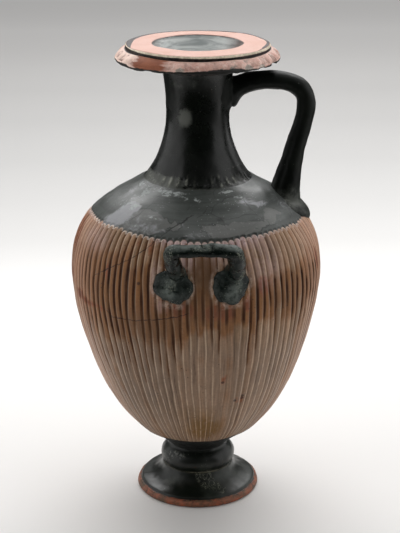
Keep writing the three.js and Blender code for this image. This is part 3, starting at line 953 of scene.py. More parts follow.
    def pitted(self, paint: Painter) -> Socket:
        """Scatters small pits, and adds the single ones."""
        pits = paint.times(paint.specks(230, 0.06, 0.2), paint.patches(0.5, 0.62, 40, 3))
        ragged = paint.swing(paint.noise(700, 3), 0.0016)
        for place in self.pits:
            away = paint.node("ShaderNodeVectorMath", operation="DISTANCE")
            paint.feed(away.inputs[0], paint.place)
            away.inputs[1].default_value = place
            near = paint.inverse(paint.band(paint.add(away.outputs["Value"], ragged), *self.pit_reach))
            pits = paint.math("MAXIMUM", pits, near)
        return pits

    def black(self, paint: Painter) -> tuple[Socket, Socket]:
        """Colours the shoulder: satin black with grey patches, rings of the wheel and lime."""
        grey = paint.times(paint.patches(0.42, 0.7, 30, 5, 0.6), 0.35)
        colour = paint.mix(grey, self.shoulder, self.dusty)
        rings = paint.stretched((16, 16, 420), 5, 0.55)
        colour = paint.shade(colour, paint.band(rings, 0.3, 0.7, 0.8, 1.2))
        worn = paint.add(paint.mark("worn"), paint.swing(paint.noise(36, 7, 0.6, bend=0.7), 1.5))
        colour = paint.mix(paint.times(paint.band(worn, 0.36, 0.42), 0.5), colour, self.worn_shoulder)
        border = paint.math("ABSOLUTE", paint.math("SUBTRACT", worn, 0.37))
        border = paint.times(paint.inverse(paint.band(border, 0.008, 0.03)), paint.patches(0.4, 0.55, 50, 4))
        colour = paint.mix(paint.times(border, 0.7), colour, self.border)
        ragged = paint.stretched((80, 80, 170), 8, 0.74, bend=0.9)
        dust = paint.add(paint.mark("dust"), paint.swing(ragged, 1.7))
        colour = paint.mix(paint.times(paint.band(dust, 0.3, 0.75), 0.75), colour, self.dust)
        scattered = paint.stretched((170, 170, 420), 6, 0.72, bend=0.5)
        lime = paint.add(scattered, paint.times(paint.mark("lime"), 0.2))
        lime = paint.times(paint.band(lime, 0.64, 0.72), 0.8)
        speck = paint.times(paint.specks(360, 0.06, 0.16), paint.patches(0.42, 0.56, 70, 3))
        pale = paint.math("MAXIMUM", lime, paint.times(speck, 0.75))
        colour = paint.mix(pale, colour, self.lime)
        hair = paint.inverse(paint.band(paint.cells(34, "DISTANCE_TO_EDGE", 0.02), 0.004, 0.018))
        hair = paint.times(hair, paint.patches(0.48, 0.6, 24, 4))
        colour = paint.mix(paint.times(hair, 0.7), colour, self.hair)
        colour = paint.mix(paint.mark("chip"), colour, self.chip)
        rough = paint.blend(paint.patches(0.38, 0.66, 44, 5, 0.6), 0.3, 0.46)
        return colour, paint.blend(pale, rough, 0.8)


@dataclass(frozen=True)
class ReservedClay:
    """The mouth's finish: bare pink clay with black margins, a worn band and a grey funnel, with painted
    shade deep in the funnel and at the bore's edge.
    """

    name: str = "mouth_finish"
    pink: Colour = srgb(201, 160, 146)
    warm: Colour = srgb(194, 147, 130)
    black: Colour = srgb(13, 13, 11)
    black_worn: Colour = srgb(66, 54, 48)
    grey_rim: Colour = srgb(44, 27, 27)
    rubbed_rim: Colour = srgb(246, 236, 212)
    soiled_rim: Colour = srgb(204, 196, 172)
    hair: Colour = srgb(104, 76, 66)
    funnel: Colour = srgb(172, 178, 178)
    funnel_pale: Colour = srgb(236, 240, 238)
    funnel_stain: Colour = srgb(84, 58, 50)
    # Painted shade deep in the funnel.
    funnel_depth_shade: Colour = srgb(62, 62, 62)
    # Painted shade: a dark ring where the top turns down into the bore.
    bore_edge_shade: Colour = srgb(58, 56, 52)
    band_pink: Colour = srgb(216, 178, 164)
    band_warm: Colour = srgb(194, 148, 134)
    band_fleck: Colour = srgb(128, 132, 124)
    band_hollow: Colour = srgb(74, 54, 48)
    band_bare: Colour = srgb(232, 212, 200)
    band_pale: Colour = srgb(236, 208, 194)
    brown: Colour = srgb(152, 86, 54)
    deep_brown: Colour = srgb(128, 66, 38)
    lip_edge: Colour = srgb(24, 23, 19)

    def build(self) -> bpy.types.Material:
        """Places each colour by the marks: top, margin, band, under and funnel."""
        paint = Painter(self.name)
        fine = paint.noise(420, 6, 0.65)
        wander = paint.swing(paint.noise(150, 4, 0.6), 0.9)
        clay = paint.mix(paint.patches(0.35, 0.75, 32, 4, 0.6), self.pink, self.warm)
        clay = paint.shade(clay, paint.band(fine, 0.3, 0.7, 0.96, 1.03))
        rubbed = paint.band(paint.add(paint.mark("rubbed"), wander), -0.2, 0.3)
        rim = paint.mix(paint.patches(0.4, 0.62, 150, 5, 0.7), self.rubbed_rim, self.soiled_rim)
        colour = paint.mix(paint.times(rubbed, 0.9), clay, rim)
        margin = paint.band(paint.add(paint.mark("margin"), wander), -0.2, 0.25)
        dark = paint.mix(paint.patches(0.42, 0.66, 120, 5, 0.7), self.black, self.black_worn)
        dark = paint.mix(paint.times(paint.mark("rim_grey"), 0.8), dark, self.grey_rim)
        colour = paint.mix(margin, colour, dark)
        colour = paint.mix(paint.marked("hair", 1.0, 0.3, 0.5, 160, 5, 0.7), colour, self.hair)
        band, band_rough = self.band_colours(paint, fine)
        on_band = paint.band(paint.mark("band"), 0.3, 0.7)
        colour = paint.mix(on_band, colour, band)
        inner = paint.band(paint.add(paint.mark("funnel"), paint.times(wander, 0.3)), 0.3, 0.6)
        streak = paint.stretched((36, 60, 260), 5, 0.6, bend=0.6)
        pool = paint.mix(paint.band(streak, 0.3, 0.68), self.funnel, self.funnel_pale)
        pool = paint.mix(paint.times(paint.mark("funnel_stain"), 0.85), pool, self.funnel_stain)
        # Painted shade: the funnel is darker deep down.
        pool = paint.mix(paint.mark("funnel_depth_shade"), pool, self.funnel_depth_shade)
        colour = paint.mix(inner, colour, pool)
        # Painted shade along the bore's edge.
        colour = paint.mix(paint.marked("bore_edge_shade", 0.9, 0.2, 0.5, 90, 4, 0.6), colour, self.bore_edge_shade)
        rough = paint.blend(margin, 0.62, 0.6)
        rough = paint.blend(on_band, rough, band_rough)
        rough = paint.blend(inner, rough, 0.34)
        normal = paint.bump(paint.noise(80, 4, 0.55), 0.22)
        normal = paint.bump(fine, 0.06, normal)
        return paint.finish(colour, rough, normal, IOR=1.48)

    def band_colours(self, paint: Painter, fine: Socket) -> tuple[Socket, float]:
        """Colours the worn band: pink clay, dark glaze left in the hollows, and a plain mend."""
        worn = paint.mix(paint.patches(0.35, 0.65, 85, 6, 0.68), self.band_pink, self.band_warm)
        left = paint.add(paint.mark("flecks"), paint.swing(paint.noise(150, 6, 0.7, bend=0.4), 2.2))
        worn = paint.mix(paint.times(paint.band(left, 0.18, 0.42), 0.75), worn, self.band_fleck)
        carved = paint.band(paint.marked("hollow", 1.0, 0.35, 0.6, 120, 4), 0.25, 0.9)
        hollow = paint.times(carved, paint.blend(paint.mark("ends"), 0.3, 0.5))
        worn = paint.mix(hollow, worn, self.band_hollow)
        worn = paint.mix(paint.times(paint.patches(0.5, 0.66, 230, 6, 0.7), 0.5), worn, self.band_bare)
        pale = paint.marked("pale_end", 0.95, 0.15, 0.4, 150, 5, 0.65)
        worn = paint.mix(paint.times(pale, paint.inverse(carved)), worn, self.band_pale)
        smooth = paint.mix(paint.patches(0.35, 0.7, 60, 4), self.brown, self.deep_brown)
        worn = paint.mix(paint.mark("mend"), worn, smooth)
        lower = paint.add(paint.mark("lip_edge"), paint.swing(paint.noise(95, 5, 0.7), 3.0))
        worn = paint.mix(paint.band(lower, 0.0, 0.5), worn, self.lip_edge)
        return paint.shade(worn, paint.band(fine, 0.3, 0.7, 0.9, 1.08)), 0.6


@dataclass(frozen=True)
class CrustedGlaze:
    """The lifting handles' finish: dull greenish glaze, pitted, with pale crust."""

    name: str
    deep: Colour = srgb(7, 14, 11)
    dull: Colour = srgb(28, 37, 33)
    # Pale grey for dust on the grip, also used for painted light on its top and painted sheen on its plates.
    dust: Colour = srgb(120, 128, 123)
    crust: Colour = srgb(150, 156, 140)
    scar: Colour = srgb(8, 10, 8)

    def build(self) -> bpy.types.Material:
        """Mixes the glaze from clouds, dust that also carries painted top light and painted sheen, crust in
        marked places, specks and scars.
        """
        paint = Painter(self.name)
        clouds = paint.noise(110, 6, 0.65)
        colour = paint.mix(paint.band(clouds, 0.4, 0.72), self.deep, self.dull)
        colour = paint.shade(colour, paint.band(paint.noise(480, 5, 0.6), 0.3, 0.7, 0.75, 1.25))
        # The dust mark carries dust, painted light on the grip's top and painted sheen on the plates.
        colour = paint.mix(paint.marked("dust", 0.6, 0.3, 0.6, 160, 5, 0.65), colour, self.dust)
        crust = paint.add(paint.mark("crust"), paint.swing(clouds, 0.5))
        pale = paint.times(paint.band(crust, 0.3, 0.9), paint.patches(0.5, 0.62, 620, 7, 0.8))
        speck = paint.times(paint.specks(480, 0.08, 0.24), paint.patches(0.5, 0.62, 130, 4))
        pale = paint.math("MAXIMUM", paint.times(pale, 0.75), paint.times(speck, 0.6))
        colour = paint.mix(pale, colour, self.crust)
        colour = paint.mix(paint.marked("scar", 0.75, 0.35, 0.6, 380, 5), colour, self.scar)
        rough = paint.blend(paint.band(clouds, 0.35, 0.7), 0.2, 0.42)
        rough = paint.blend(pale, rough, 0.85)
        normal = paint.bump(paint.noise(190, 4, 0.5), 0.16)
        normal = paint.bump(pale, 0.2, normal)
        normal = paint.bump(paint.noise(900, 3), 0.015, normal)
        return paint.finish(colour, rough, normal, IOR=1.48, Specular_IOR_Level=0.17)


# The glaze of the neck and the pouring handle.
DARKEST_GLAZE = srgb(6, 11, 6)


class Slot(Enum):
    """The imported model's material slots."""

    FOOT = "foot_glaze"
    BODY = "ribbed_slip"
    NECK = "neck_glaze"
    MOUTH = "reserved_clay"
    HANDLE = "handle_glaze"
    GRIP = "worn_glaze"


def dress(name: str, skin: Skin, material: bpy.types.Material, nodes: Sequence[str]) -> None:
    """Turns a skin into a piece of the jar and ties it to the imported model.

    Args:
        name: The piece's name.
        skin: Its surface.
        material: Its finish.
        nodes: The nodes that the piece stands for.
    """
    mesh = skin.mesh(name)
    mesh.materials.append(material)
    piece = bpy.data.objects.new(name, mesh)
    bpy.context.scene.collection.objects.link(piece)
    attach(piece, BODY)
    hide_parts(*nodes)
    log.info("%s: %d vertices, stands for %s", name, len(skin.points), ", ".join(nodes))


@dataclass
class Levels:
    """Heights where the thrown sections meet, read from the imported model."""

    foot_top: float
    body_top: float
    neck_top: float
    mouth_top: float

    @classmethod
    def from_frame(cls) -> "Levels":
        """Reads the top of each thrown section, in millimetres."""
        return cls(*(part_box(node)[1].z / MM for node in ("foot", "body", "neck", "mouth")))


@dataclass
class Foot:
    """The turned foot: a hollow pedestal with a reserved edge and a drum under the body."""

    levels: Levels
    columns: int = 240
    resting_inner: float = 50.0
    hollow_height: float = 21.0
    hollow_rows: int = 16
    stem_radius: float = 34.5
    stem_height: float = 24.0
    drum_radius: float = 34.2
    drum_height: float = 26.0
    groove_height: float = 24.9
    ridge_height: float = 4.9
    ridge_tall: float = 0.8
    ridge_inner: float = 57.0
    groove_tall: float = 0.55
    bare_height: float = 6.8
    bare_fade: float = 1.2
    top_radius: float = 28.5
    pole_radius: float = 2.0

    crazing = (Spot(8, 22, 10, 8, 1.3), Spot(13, 16, 9, 5, 1.2), Spot(26, 12, 8, 3.4, 1.1))
    lime = (Spot(-60, 36, 8, 5, 0.4), Spot(-40, 41, 10, 3, 0.4), Spot(70, 30, 6, 6, 0.3))
    film = (Spot(-42, 14, 16, 5, 0.2),)

    def profile(self) -> Array:
        """Goes from the hollow's crown out over the resting ring and up to the drum's top."""
        top = self.levels.foot_top
        stem, drum_foot = (self.stem_radius, self.stem_height), (self.drum_radius, self.drum_height)
        shoulder = (self.top_radius + 1, top - 2.3)
        hollow = bezier([(self.pole_radius, self.hollow_height), (29.0, self.hollow_height),
                         (self.resting_inner, 0.3)], np.linspace(0, 1, self.hollow_rows))
        ring = rounded([(self.resting_inner, 0.3, 0), (self.resting_inner + 1, 0, 0.6), (58.2, 0, 1.4),
                        (59.9, 1.6, 1.4), (58.3, 5.6, 1.0), (56.9, 6.9, 0.9), (56.2, 6.4, 0.5),
                        (55.2, 8.6, 0.5), (54.2, 9.2, 0)])
        flare = bezier([(54.0, 9.3), (36.5, 14.3), stem], np.linspace(0, 1, 24))
        groove = rounded([(*stem, 0), (33.2, 24.6, 0.5), (33.3, 25.3, 0.5), (*drum_foot, 0)])
        drum = bezier(angled(drum_foot, 62, 7.0, shoulder, 140, 10.0), np.linspace(0, 1, 26))
        cap = rounded([(*shoulder, 0), (self.top_radius + 0.1, top - 0.8, 0.6), (self.top_radius, top, 0.3),
                       (self.pole_radius, top, 0)])
        return np.concatenate([hollow, ring[1:], flare[1:], groove[1:], drum[1:], cap[1:]])

    def build(self) -> None:
        """Turns the foot, marks its bare band and the ridge on it, and dresses it."""
        profile, turns = self.profile(), spread(self.columns)
        plain = revolved(profile, turns)
        hand = Ripple(11, 0.18, 34).at(plain) + Ripple(12, 0.05, 7).at(plain)
        rows = revolved(profile, turns, hand * smooth_step(plain[..., 2], 0.2, 4.0))
        skin = Skin.wrapped(rows, ([0, 0, self.hollow_height], [0, 0, self.levels.foot_top]))
        radius, height, flat = profile[:, :1], profile[:, 1:], 0 * rows[..., 0]
        in_hollow = np.arange(len(profile))[:, None] < self.hollow_rows
        in_hollow = in_hollow & (radius < self.resting_inner - 0.5)
        bare = np.where(in_hollow, 1.0, (self.bare_height - height) / self.bare_fade + flat)
        ridge = np.exp(-(((height - self.ridge_height) / self.ridge_tall) ** 2))
        line = np.exp(-(((height - self.groove_height) / self.groove_tall) ** 2))
        skin.mark("bare", np.clip(bare, -1, 1))
        skin.mark("ridge", ridge * (radius > self.ridge_inner) + flat)
        skin.mark("turned_line", line + flat)
        for name, spots in (("crazed", self.crazing), ("lime", self.lime), ("film", self.film)):
            skin.mark(name, painted(rows, spots))
        finish = BlackGlaze("foot_finish", gloss=0.3, dull=0.44, haze=0.3, specks=0.7,
                            edge=srgb(148, 80, 54), crazed=True, sheen=0.38)
        dress("turned_foot", skin, finish.build(), ["foot"])


# Where deposits, stains, wear and painted shade lie on the ribbed body, under the names of their marks.
RIB_PATCHES: dict[str, tuple[Spot, ...]] = {
    "yellow": (Spot(3, 92, 17, 16, 1.2), Spot(-3, 112, 20, 10, 0.35)),
    # Painted shade: patches where the ribs are darkened, beside and below the grip's plates, low on the body
    # and at the back.
    "painted_shade": (
        Spot(-32, 164, 42, 44, 0.5), Spot(-34, 118, 40, 24, 0.3), Spot(6, 192, 22, 18, 0.3),
        Spot(34, 272, 16, 9, 0.42), Spot(23, 254, 9, 12, 0.3), Spot(-6, 234, 12, 7, 0.4),
        Spot(28, 160, 40, 40, 0.2), Spot(180, 190, 110, 130, 0.35)),
    # Painted shade in dark brown: under and between the grip's plates, and below them.
    "brown_shade": (
        Spot(1, 258, 12, 20, 1.1), Spot(0, 225, 36, 15, 0.5), Spot(-22, 208, 34, 14, 0.5),
        Spot(38, 226, 12, 10, 0.4)),
    "stain": (
        Spot(-80, 228, 8, 8, 0.8), Spot(-68, 217, 9, 5, 1.2), Spot(-60, 213, 11, 4, 1.4),
        Spot(-52, 214, 8, 4, 1.0), Spot(28.4, 242, 7, 9, 1.15), Spot(20, 228, 4, 7, 1.5),
        Spot(-9, 227, 12, 8, 1.0), Spot(8, 224, 14, 9, 0.9), Spot(0, 220, 36, 9, 0.45),
        Spot(-84, 266, 18, 22, 0.55), Spot(70, 246, 5, 12, 1.1), Spot(78, 236, 8, 9, 0.7),
        Spot(-46, 250, 3, 9, 0.8), Spot(-24, 277, 5, 6, 0.6), Spot(-32, 279, 5, 5, 0.5),
        Spot(150, 200, 40, 30, 0.5), Spot(-150, 240, 40, 20, 0.5), Spot(22, 127, 6, 5, 0.7),
        Spot(11.3, 150, 3, 7, 0.6)),
    "lime": (
        Spot(-70, 313.5, 9, 2.5), Spot(-54, 310.5, 6, 4), Spot(-36, 313.4, 24, 1.6),
        Spot(-24, 311.8, 14, 0.8, 0.8), Spot(26, 313.6, 9, 1.6), Spot(-49, 300.8, 6, 2.4, 0.9),
        Spot(-30, 297.4, 7, 0.8, 0.8), Spot(-38, 290, 6, 0.8, 0.7), Spot(-5, 309, 18, 0.8, 0.8),
        Spot(-62, 302, 20, 4, 0.5), Spot(30, 308, 30, 3, 0.5), Spot(150, 314, 20, 2, 0.7),
        Spot(-150, 314, 24, 2, 0.8)),
    "dust": (
        Spot(-54, 295, 11, 9, 0.75), Spot(-60, 287, 9, 6, 0.6), Spot(-48.5, 300.5, 5, 2.6, 1.5),
        Spot(-40, 290, 34, 10, 0.38), Spot(38, 305, 12, 2.4, 0.7), Spot(50, 302, 12, 3, 0.55),
        Spot(70, 297, 14, 10, 0.35), Spot(0, 289, 60, 8, 0.22), Spot(-66, 308, 14, 5, 0.4),
        Spot(140, 296, 50, 10, 0.5), Spot(-140, 300, 40, 8, 0.4)),
    "worn": (
        Spot(-36, 292, 34, 9, 0.8), Spot(22, 290, 50, 6, 0.6), Spot(56, 297, 20, 7, 0.35),
        Spot(170, 295, 80, 12, 0.3)),
    "chip": (Spot(36.4, 300.1, 3.2, 0.9), Spot(12, 296.5, 3, 0.4, 0.7)),
}
# Where the ribs are fired warm, apart from the belt that old water left.
WARM_PATCHES = (
    Spot(-52, 240, 42, 34, 1.0), Spot(0, 222, 60, 18, 0.6), Spot(-70, 190, 40, 30, 0.3),
    Spot(160, 230, 80, 60, 0.4))
# Where the ribs are rubbed to pink, apart from their tips.
PINK_PATCHES = (
    Spot(-2, 268, 26, 9, 0.7), Spot(-18, 228, 7, 7, 0.5), Spot(4, 281, 44, 6, 1.2),
    Spot(12, 277, 14, 7, 0.7), Spot(-21, 252, 5, 16, 0.5), Spot(-60, 273, 20, 10, 0.35),
    Spot(30, 262, 20, 22, 0.4))


@dataclass
class RibbedBody:
    """The thrown body: ribs up a double curve, tongue tips, a smooth shoulder and the inside."""

    levels: Levels
    base_radius: float = 28.5
    rib_foot_radius: float = 57.0
    rib_foot_rise: float = 23.0
    belly_radius: float = 117.5
    belly_rise: float = 179.5
    top_radius: float = 50.5
    lower_angle: float = 43.0
    shoulder_angle: float = 34.7
    rim_ledge: float = 7.0
    wall_thickness: float = 5.5
    floor_thickness: float = 6.5
    rib_count: int = 104
    rib_depth: float = 1.5
    grain_turns: float = 52.0
    grain_length: float = 45.0
    tip_rise: float = 59.0
    tip_unevenness: float = 0.4
    twist: float = math.radians(4)
    line_width: float = 1.5
    lean: float = -1.5
    calm_lift: float = 12.0
    tip_length: float = 1.25
    crest_unevenness: float = 0.12
    depth_unevenness: float = 0.18
    depth_wave: float = 23.0
    tide_unevenness_factor: float = 2.0
    halo_level: float = 0.28
    halo_width: float = 0.09
    halo_share: float = 0.65
    tip_pink_share: float = 0.8
    tide_warmth: float = 0.75
    tide_unevenness: float = 2.5
    dirt_line: float = 238.0
    fine_step: float = 0.48
    columns_across_rib: tuple[float, ...] = (0.0, 0.09, 0.24, 0.41, 0.59, 0.76, 0.91)
    wall: Wall = field(init=False)

    calm_heights = (176, 216)
    gap_heights = (150, 250)
    fine_span = (-9.0, 3.6)
    wobbles = ((0.09, 31.0), (0.055, 13.0), (0.03, 6.0))
    tip_bends = ((0, 33, 75, 130, 200, 274, 311), (-1.8, -0.3, -2.2, 0.4, -0.6, -1.0, 1.2))
    # Painted light and shade across a rib lit from the left: the first tone places a painted highlight on the
    # lit edge, the second painted shade on the other flank.
    lit_edge_tone = ((0, 0.09, 0.24, 0.41, 1), (0, 0.6, 1.0, 0.1, 0))
    shade_tone = ((0, 0.09, 0.41, 0.59, 0.76, 0.91, 1), (1, 0.2, 0, 0.2, 0.6, 1, 1))
    dirt_ends = ((-180, -90, -50, -16, -10, 45, 90, 180), (150, 150, 156, 160, 200, 204, 186, 150))
    tide_top = ((-180, -90, -60, -20, 15, 30, 60, 90, 180), (262, 258, 262, 258, 242, 246, 260, 264, 262))
    tide_foot = ((-180, -90, -60, -40, -18, 0, 30, 90, 180), (196, 208, 200, 188, 188, 206, 211, 214, 196))
    plate_spots = tuple(Spot(side, 246.5, 17.5, 17.0) for side in (-12.9, 12.9))
    cracks = (
        Crack(((-5.3, 300), (-14.5, 293), (-22.2, 284.1), (-27, 275.8), (-33.3, 266.2), (-44.9, 253.3),
               (-54.6, 242.1))),
        Crack(((-46.6, 215.1), (-42.7, 208.9), (-30.3, 210.4), (-23.4, 213.4), (-14.4, 216.9),
               (-10.8, 218.7), (-6.1, 222.1))),
        Crack(((2.4, 301.5), (6.8, 305.7))))
    pit_places = ((11.6, 149.0), (20.0, 126.0), (24.0, 128.0), (24.2, 130.5), (-28, 246.0))

    def __post_init__(self) -> None:
        """Works out the profile's heights and its wall table."""
        self.base = self.levels.foot_top
        self.rib_foot = self.base + self.rib_foot_rise
        self.belly = self.base + self.belly_rise
        self.tip = self.belly + self.tip_rise
        self.top = self.levels.body_top
        lower_rise, upper_rise = self.belly - self.rib_foot, self.top - self.belly
        self.lower = angled((self.rib_foot_radius, self.rib_foot), self.lower_angle, 0.416 * lower_rise,
                            (self.belly_radius, self.belly), 90, 0.139 * lower_rise)
        self.upper = angled((self.belly_radius, self.belly), 90, 0.695 * upper_rise,
                            (self.top_radius, self.top), 180 - self.shoulder_angle, 0.452 * upper_rise)
        self.wall = Wall([self.lower, self.upper])

    def wall_rows(self) -> Array:
        """Gives the outer profile's rows, close together where the tongue tips need them."""
        table = self.wall.table
        along = np.concatenate([[0.0], np.cumsum(np.hypot(*np.diff(table, axis=0).T))])
        tip_along = np.interp(self.tip, table[:, 1], along)
        low, high = (tip_along + off for off in self.fine_span)
        wanted = np.concatenate([
            np.linspace(0, 4.0, 6)[:-1], np.linspace(4.0, low, 44)[:-1],
            np.arange(low, high, self.fine_step), np.linspace(high, along[-1] - 0.15, 14), along[-1:]])
        return np.stack([np.interp(wanted, along, table[:, k]) for k in (0, 1)], axis=1)

    def build(self) -> None:
        """Builds the skin from the underside up the wall and down the inside, and dresses it."""
        outer = self.wall_rows()
        azimuths, relief, marks = self.ribbing(outer)
        under = bezier([(self.base_radius, self.base), (self.base_radius + 9.5, self.base + 10.7),
                        (self.rib_foot_radius - 1.9, self.rib_foot - 1.3)], np.linspace(0, 1, 9))
        last_step = [[self.rib_foot_radius - 0.7, self.rib_foot - 0.7]]
        under = np.concatenate([[[3.0, self.base]], under, last_step])
        inner = self.inside()
        profile = np.concatenate([under, outer, inner])
        first, last = len(under), len(under) + len(outer)
        turns = np.concatenate([np.repeat(azimuths[:1], len(under), 0), azimuths,
                                np.repeat(azimuths[-1:], len(inner), 0)])
        heights = np.zeros(turns.shape)
        heights[first:last] = relief
        plain = revolved(profile, turns)
        hand = Ripple(21, 0.45, 75).at(plain) + Ripple(22, 0.12, 16).at(plain)
        hand *= smooth_step(plain[..., 2], self.base + 2, self.rib_foot)
        hand *= 1 - smooth_step(plain[..., 2], self.top - 6, self.top - 0.5)
        rows = revolved(profile, turns, heights + hand * (np.arange(len(profile)) < last)[:, None])
        rows[..., 0] += self.sway(rows[..., 2])
        skin = Skin.wrapped(rows, ([0, 0, self.base], [0, 0, self.base + self.floor_thickness]))
        self.paint(skin, rows, marks, first, last)
        turns, heights = np.radians([place[0] for place in self.pit_places]), np.array(self.pit_places)[:, 1]
        pits = around(turns, self.wall.radius(heights), heights)
        pits[:, 0] += self.sway(heights)
        finish = RibbedSlip(tuple(map(tuple, pits * MM)))
        dress("ribbed_body", skin, finish.build(), ["body"])

    def sway(self, height: Array) -> Array:
        """Gives how far the body stands sideways off its axis at a height."""
        share = np.clip((height - self.base) / (self.top - self.base), 0, 1)
        return self.lean * np.sin(np.pi * share)

    def inside(self) -> Array:
        """Gives the rim's ledge and the hollow's profile: the wall's table moved inwards."""
        floor = self.base + self.floor_thickness
        lining = self.wall.lining(12, self.wall_thickness)
        lining = lining[(lining[:, 1] < self.top - 2.0) & (lining[:, 1] > floor + 4)]
        lining = lining[lining[:, 0] < self.belly_radius - self.wall_thickness + 0.1]
        ledge = [[self.top_radius - 0.3, self.top], [self.top_radius - self.rim_ledge, self.top]]
        bottom = [[self.base_radius - 4, floor + 1.5], [8.0, floor]]
        return np.concatenate([ledge, evenly(lining, 16.0), bottom])

    def ribbing(self, outer: Array) -> tuple[Array, Array, dict[str, Array]]:
        """Cuts the ribs into the wall.

        A rib's section falls from its crest as 0.4s² + 0.6s⁶, where s goes from 0 on the
        crest to 1 in the groove. Above its tip's centre s is the distance from that centre,
        so the tip is round, and past it the cut line rises back to the smooth shoulder.

        Args:
            outer: The wall's rows.

        Returns:
            The azimuths, the relief, and the marks of the ribs on the same rows and columns.
        """
        draw = np.random.default_rng(31)
        across = np.tile(self.columns_across_rib, self.rib_count)
        rib = np.repeat(np.arange(self.rib_count), len(self.columns_across_rib))
        pitch = 2 * np.pi / self.rib_count
        radius, height = outer[:, :1], outer[:, 1:]
        turn = self.twist * np.clip((self.tip - height) / (self.tip - self.rib_foot), 0, 1)
        phases = draw.uniform(0, 2 * np.pi, (3, self.rib_count))
        wobble = sum(share * np.sin(height / length + phase)
                     for (share, length), phase in zip(self.wobbles, phases))
        grooves = np.concatenate([wobble, wobble[:, :1]], axis=1)
        shift = grooves[:, rib] * (1 - across) + grooves[:, rib + 1] * across
        shift *= 1 - smooth_step(height, self.tip - 6, self.tip)
        azimuths = pitch * (rib + across + shift) + turn
        half = np.pi * radius / self.rib_count
        arc = half * self.tip_length
        slope = np.hypot(1, np.gradient(radius[:, 0]) / np.gradient(height[:, 0]))[:, None]
        ring = np.interp(np.degrees(pitch * rib), *self.tip_bends, period=360)
        tips = self.tip + ring + draw.normal(0, self.tip_unevenness, self.rib_count)[rib]
        tip_centre = tips - arc / slope
        along = np.maximum(height - tip_centre, 0) * slope / arc
        side = np.abs(1 - 2 * across)
        reach = np.hypot(side, along)
        depth = self.rib_depth * np.sqrt(radius / self.belly_radius)
        depth = depth * smooth_step(height, self.rib_foot, self.rib_foot + 3)
        depth = depth * (1 + self.depth_unevenness * np.sin(height / self.depth_wave + phases[1])[:, rib])
        flank = np.abs(np.sin(azimuths))
        depth = depth * (0.36 + 0.64 * smooth_step(height + self.calm_lift * flank, *self.calm_heights))
        depth = depth * (1 - 0.45 * smooth_step(flank, 0.55, 0.85) * smooth_step(height, 252, 272))
        section = 0.4 * np.minimum(reach, 1) ** 2 + 0.6 * np.minimum(reach, 1) ** 6
        beyond = (reach - 1) * half
        rising = 1 - smooth_step(beyond, self.line_width - 1.0, self.line_width + 0.3)
        relief = -depth * np.where(reach > 1, rising, section)
        crest = draw.normal(0, self.crest_unevenness, self.rib_count)[rib] * (1 - section) * (height < tips)
        turns = pitch * (rib + across)
        marks = {
            "across": np.where(along > 0, np.minimum(reach, 1.0), side),
            "zone": np.clip(np.where(along > 0, (1.08 - reach) * half, 2.0), -2, 2),
            "tone": np.broadcast_to(draw.uniform(-1, 1, self.rib_count)[rib], relief.shape),
            "tip": np.clip(1 - np.abs(reach - 0.78) / 0.42, 0, 1) * (along > 0),
            "arc": np.clip(1 - np.abs(reach - 0.84) / 0.26, 0, 1) * (along > 0.1),
            # edge places a painted highlight on each rib's lit edge, and shaded places painted shade on its
            # other flank.
            "edge": self.lit_side(azimuths, across, self.lit_edge_tone) * (along <= 0),
            "shaded": self.lit_side(azimuths, across, self.shade_tone) * (along <= 0),
            "clog": self.clogging(height, (rib + np.round(across).astype(int)) % self.rib_count),
            "tide": self.tide(azimuths, height, draw.normal(0, self.tide_unevenness, self.rib_count)[rib]),
            "grain_x": np.broadcast_to(self.grain_turns * np.cos(turns), relief.shape),
            "grain_y": np.broadcast_to(self.grain_turns * np.sin(turns), relief.shape),
            "grain_z": np.broadcast_to(height / self.grain_length, relief.shape),
        }
        return azimuths, relief + crest, marks

    @staticmethod
    def lit_side(azimuths: Array, across: Array, tone: tuple[tuple[float, ...], ...]) -> Array:
        """Spreads painted light and shade over each rib, mirrored on the right of the jar, where light comes
        from.

        Args:
            azimuths: Where each vertex stands.
            across: How far across its rib it is, from 0 to 1.
            tone: Places across a rib that is lit from the left, and the tone's value at each.

        Returns:
            The tone at each vertex.
        """
        turn = np.degrees(np.arctan2(np.sin(azimuths), np.cos(azimuths)))
        right = smooth_step(turn, 4, 24)
        return (1 - right) * np.interp(across, *tone) + right * np.interp(1 - across, *tone)

    def clogging(self, height: Array, groove: Array) -> Array:
        """Gives 1 where a groove holds dark dirt: down to a height of its own, in broken lengths.

        Args:
            height: The rows' heights.
            groove: The nearest groove of each column.

        Returns:
            The share of dirt.
        """
        draw = np.random.default_rng(37)
        count = self.rib_count
        ends = draw.normal(0, 14, count)
        turns = (np.arange(count) * 360 / count + 180) % 360 - 180
        ends += np.interp(turns, *self.dirt_ends)
        gap = draw.uniform(*self.gap_heights, count)
        filled = smooth_step(height, ends[groove] - 5, ends[groove] + 5)
        side = np.sin(2 * np.pi * np.arange(count) / count)
        line = self.dirt_line + draw.normal(0, 5, count) + 5 * np.maximum(side, 0)
        above = smooth_step(height, line[groove] - 1.5, line[groove] + 1.5)
        right = 0.75 * smooth_step(side, 0.15, 0.4) + 0.15 * smooth_step(side, 0.6, 0.85)
        lighter = right[groove] * above
        lighter += 0.45 * smooth_step(-side, 0.5, 0.75)[groove] * smooth_step(height, 254, 264)
        bared = 1 - 0.6 * smooth_step(np.abs(side), 0.88, 0.97)[groove]
        bared = bared - 0.35 * smooth_step(-side, 0.7, 0.86)[groove]
        gaps = 1 - 0.7 * np.exp(-(((height - gap[groove]) / 9) ** 2))
        return np.maximum(bared, 0.2) * filled * (1 - lighter) * gaps

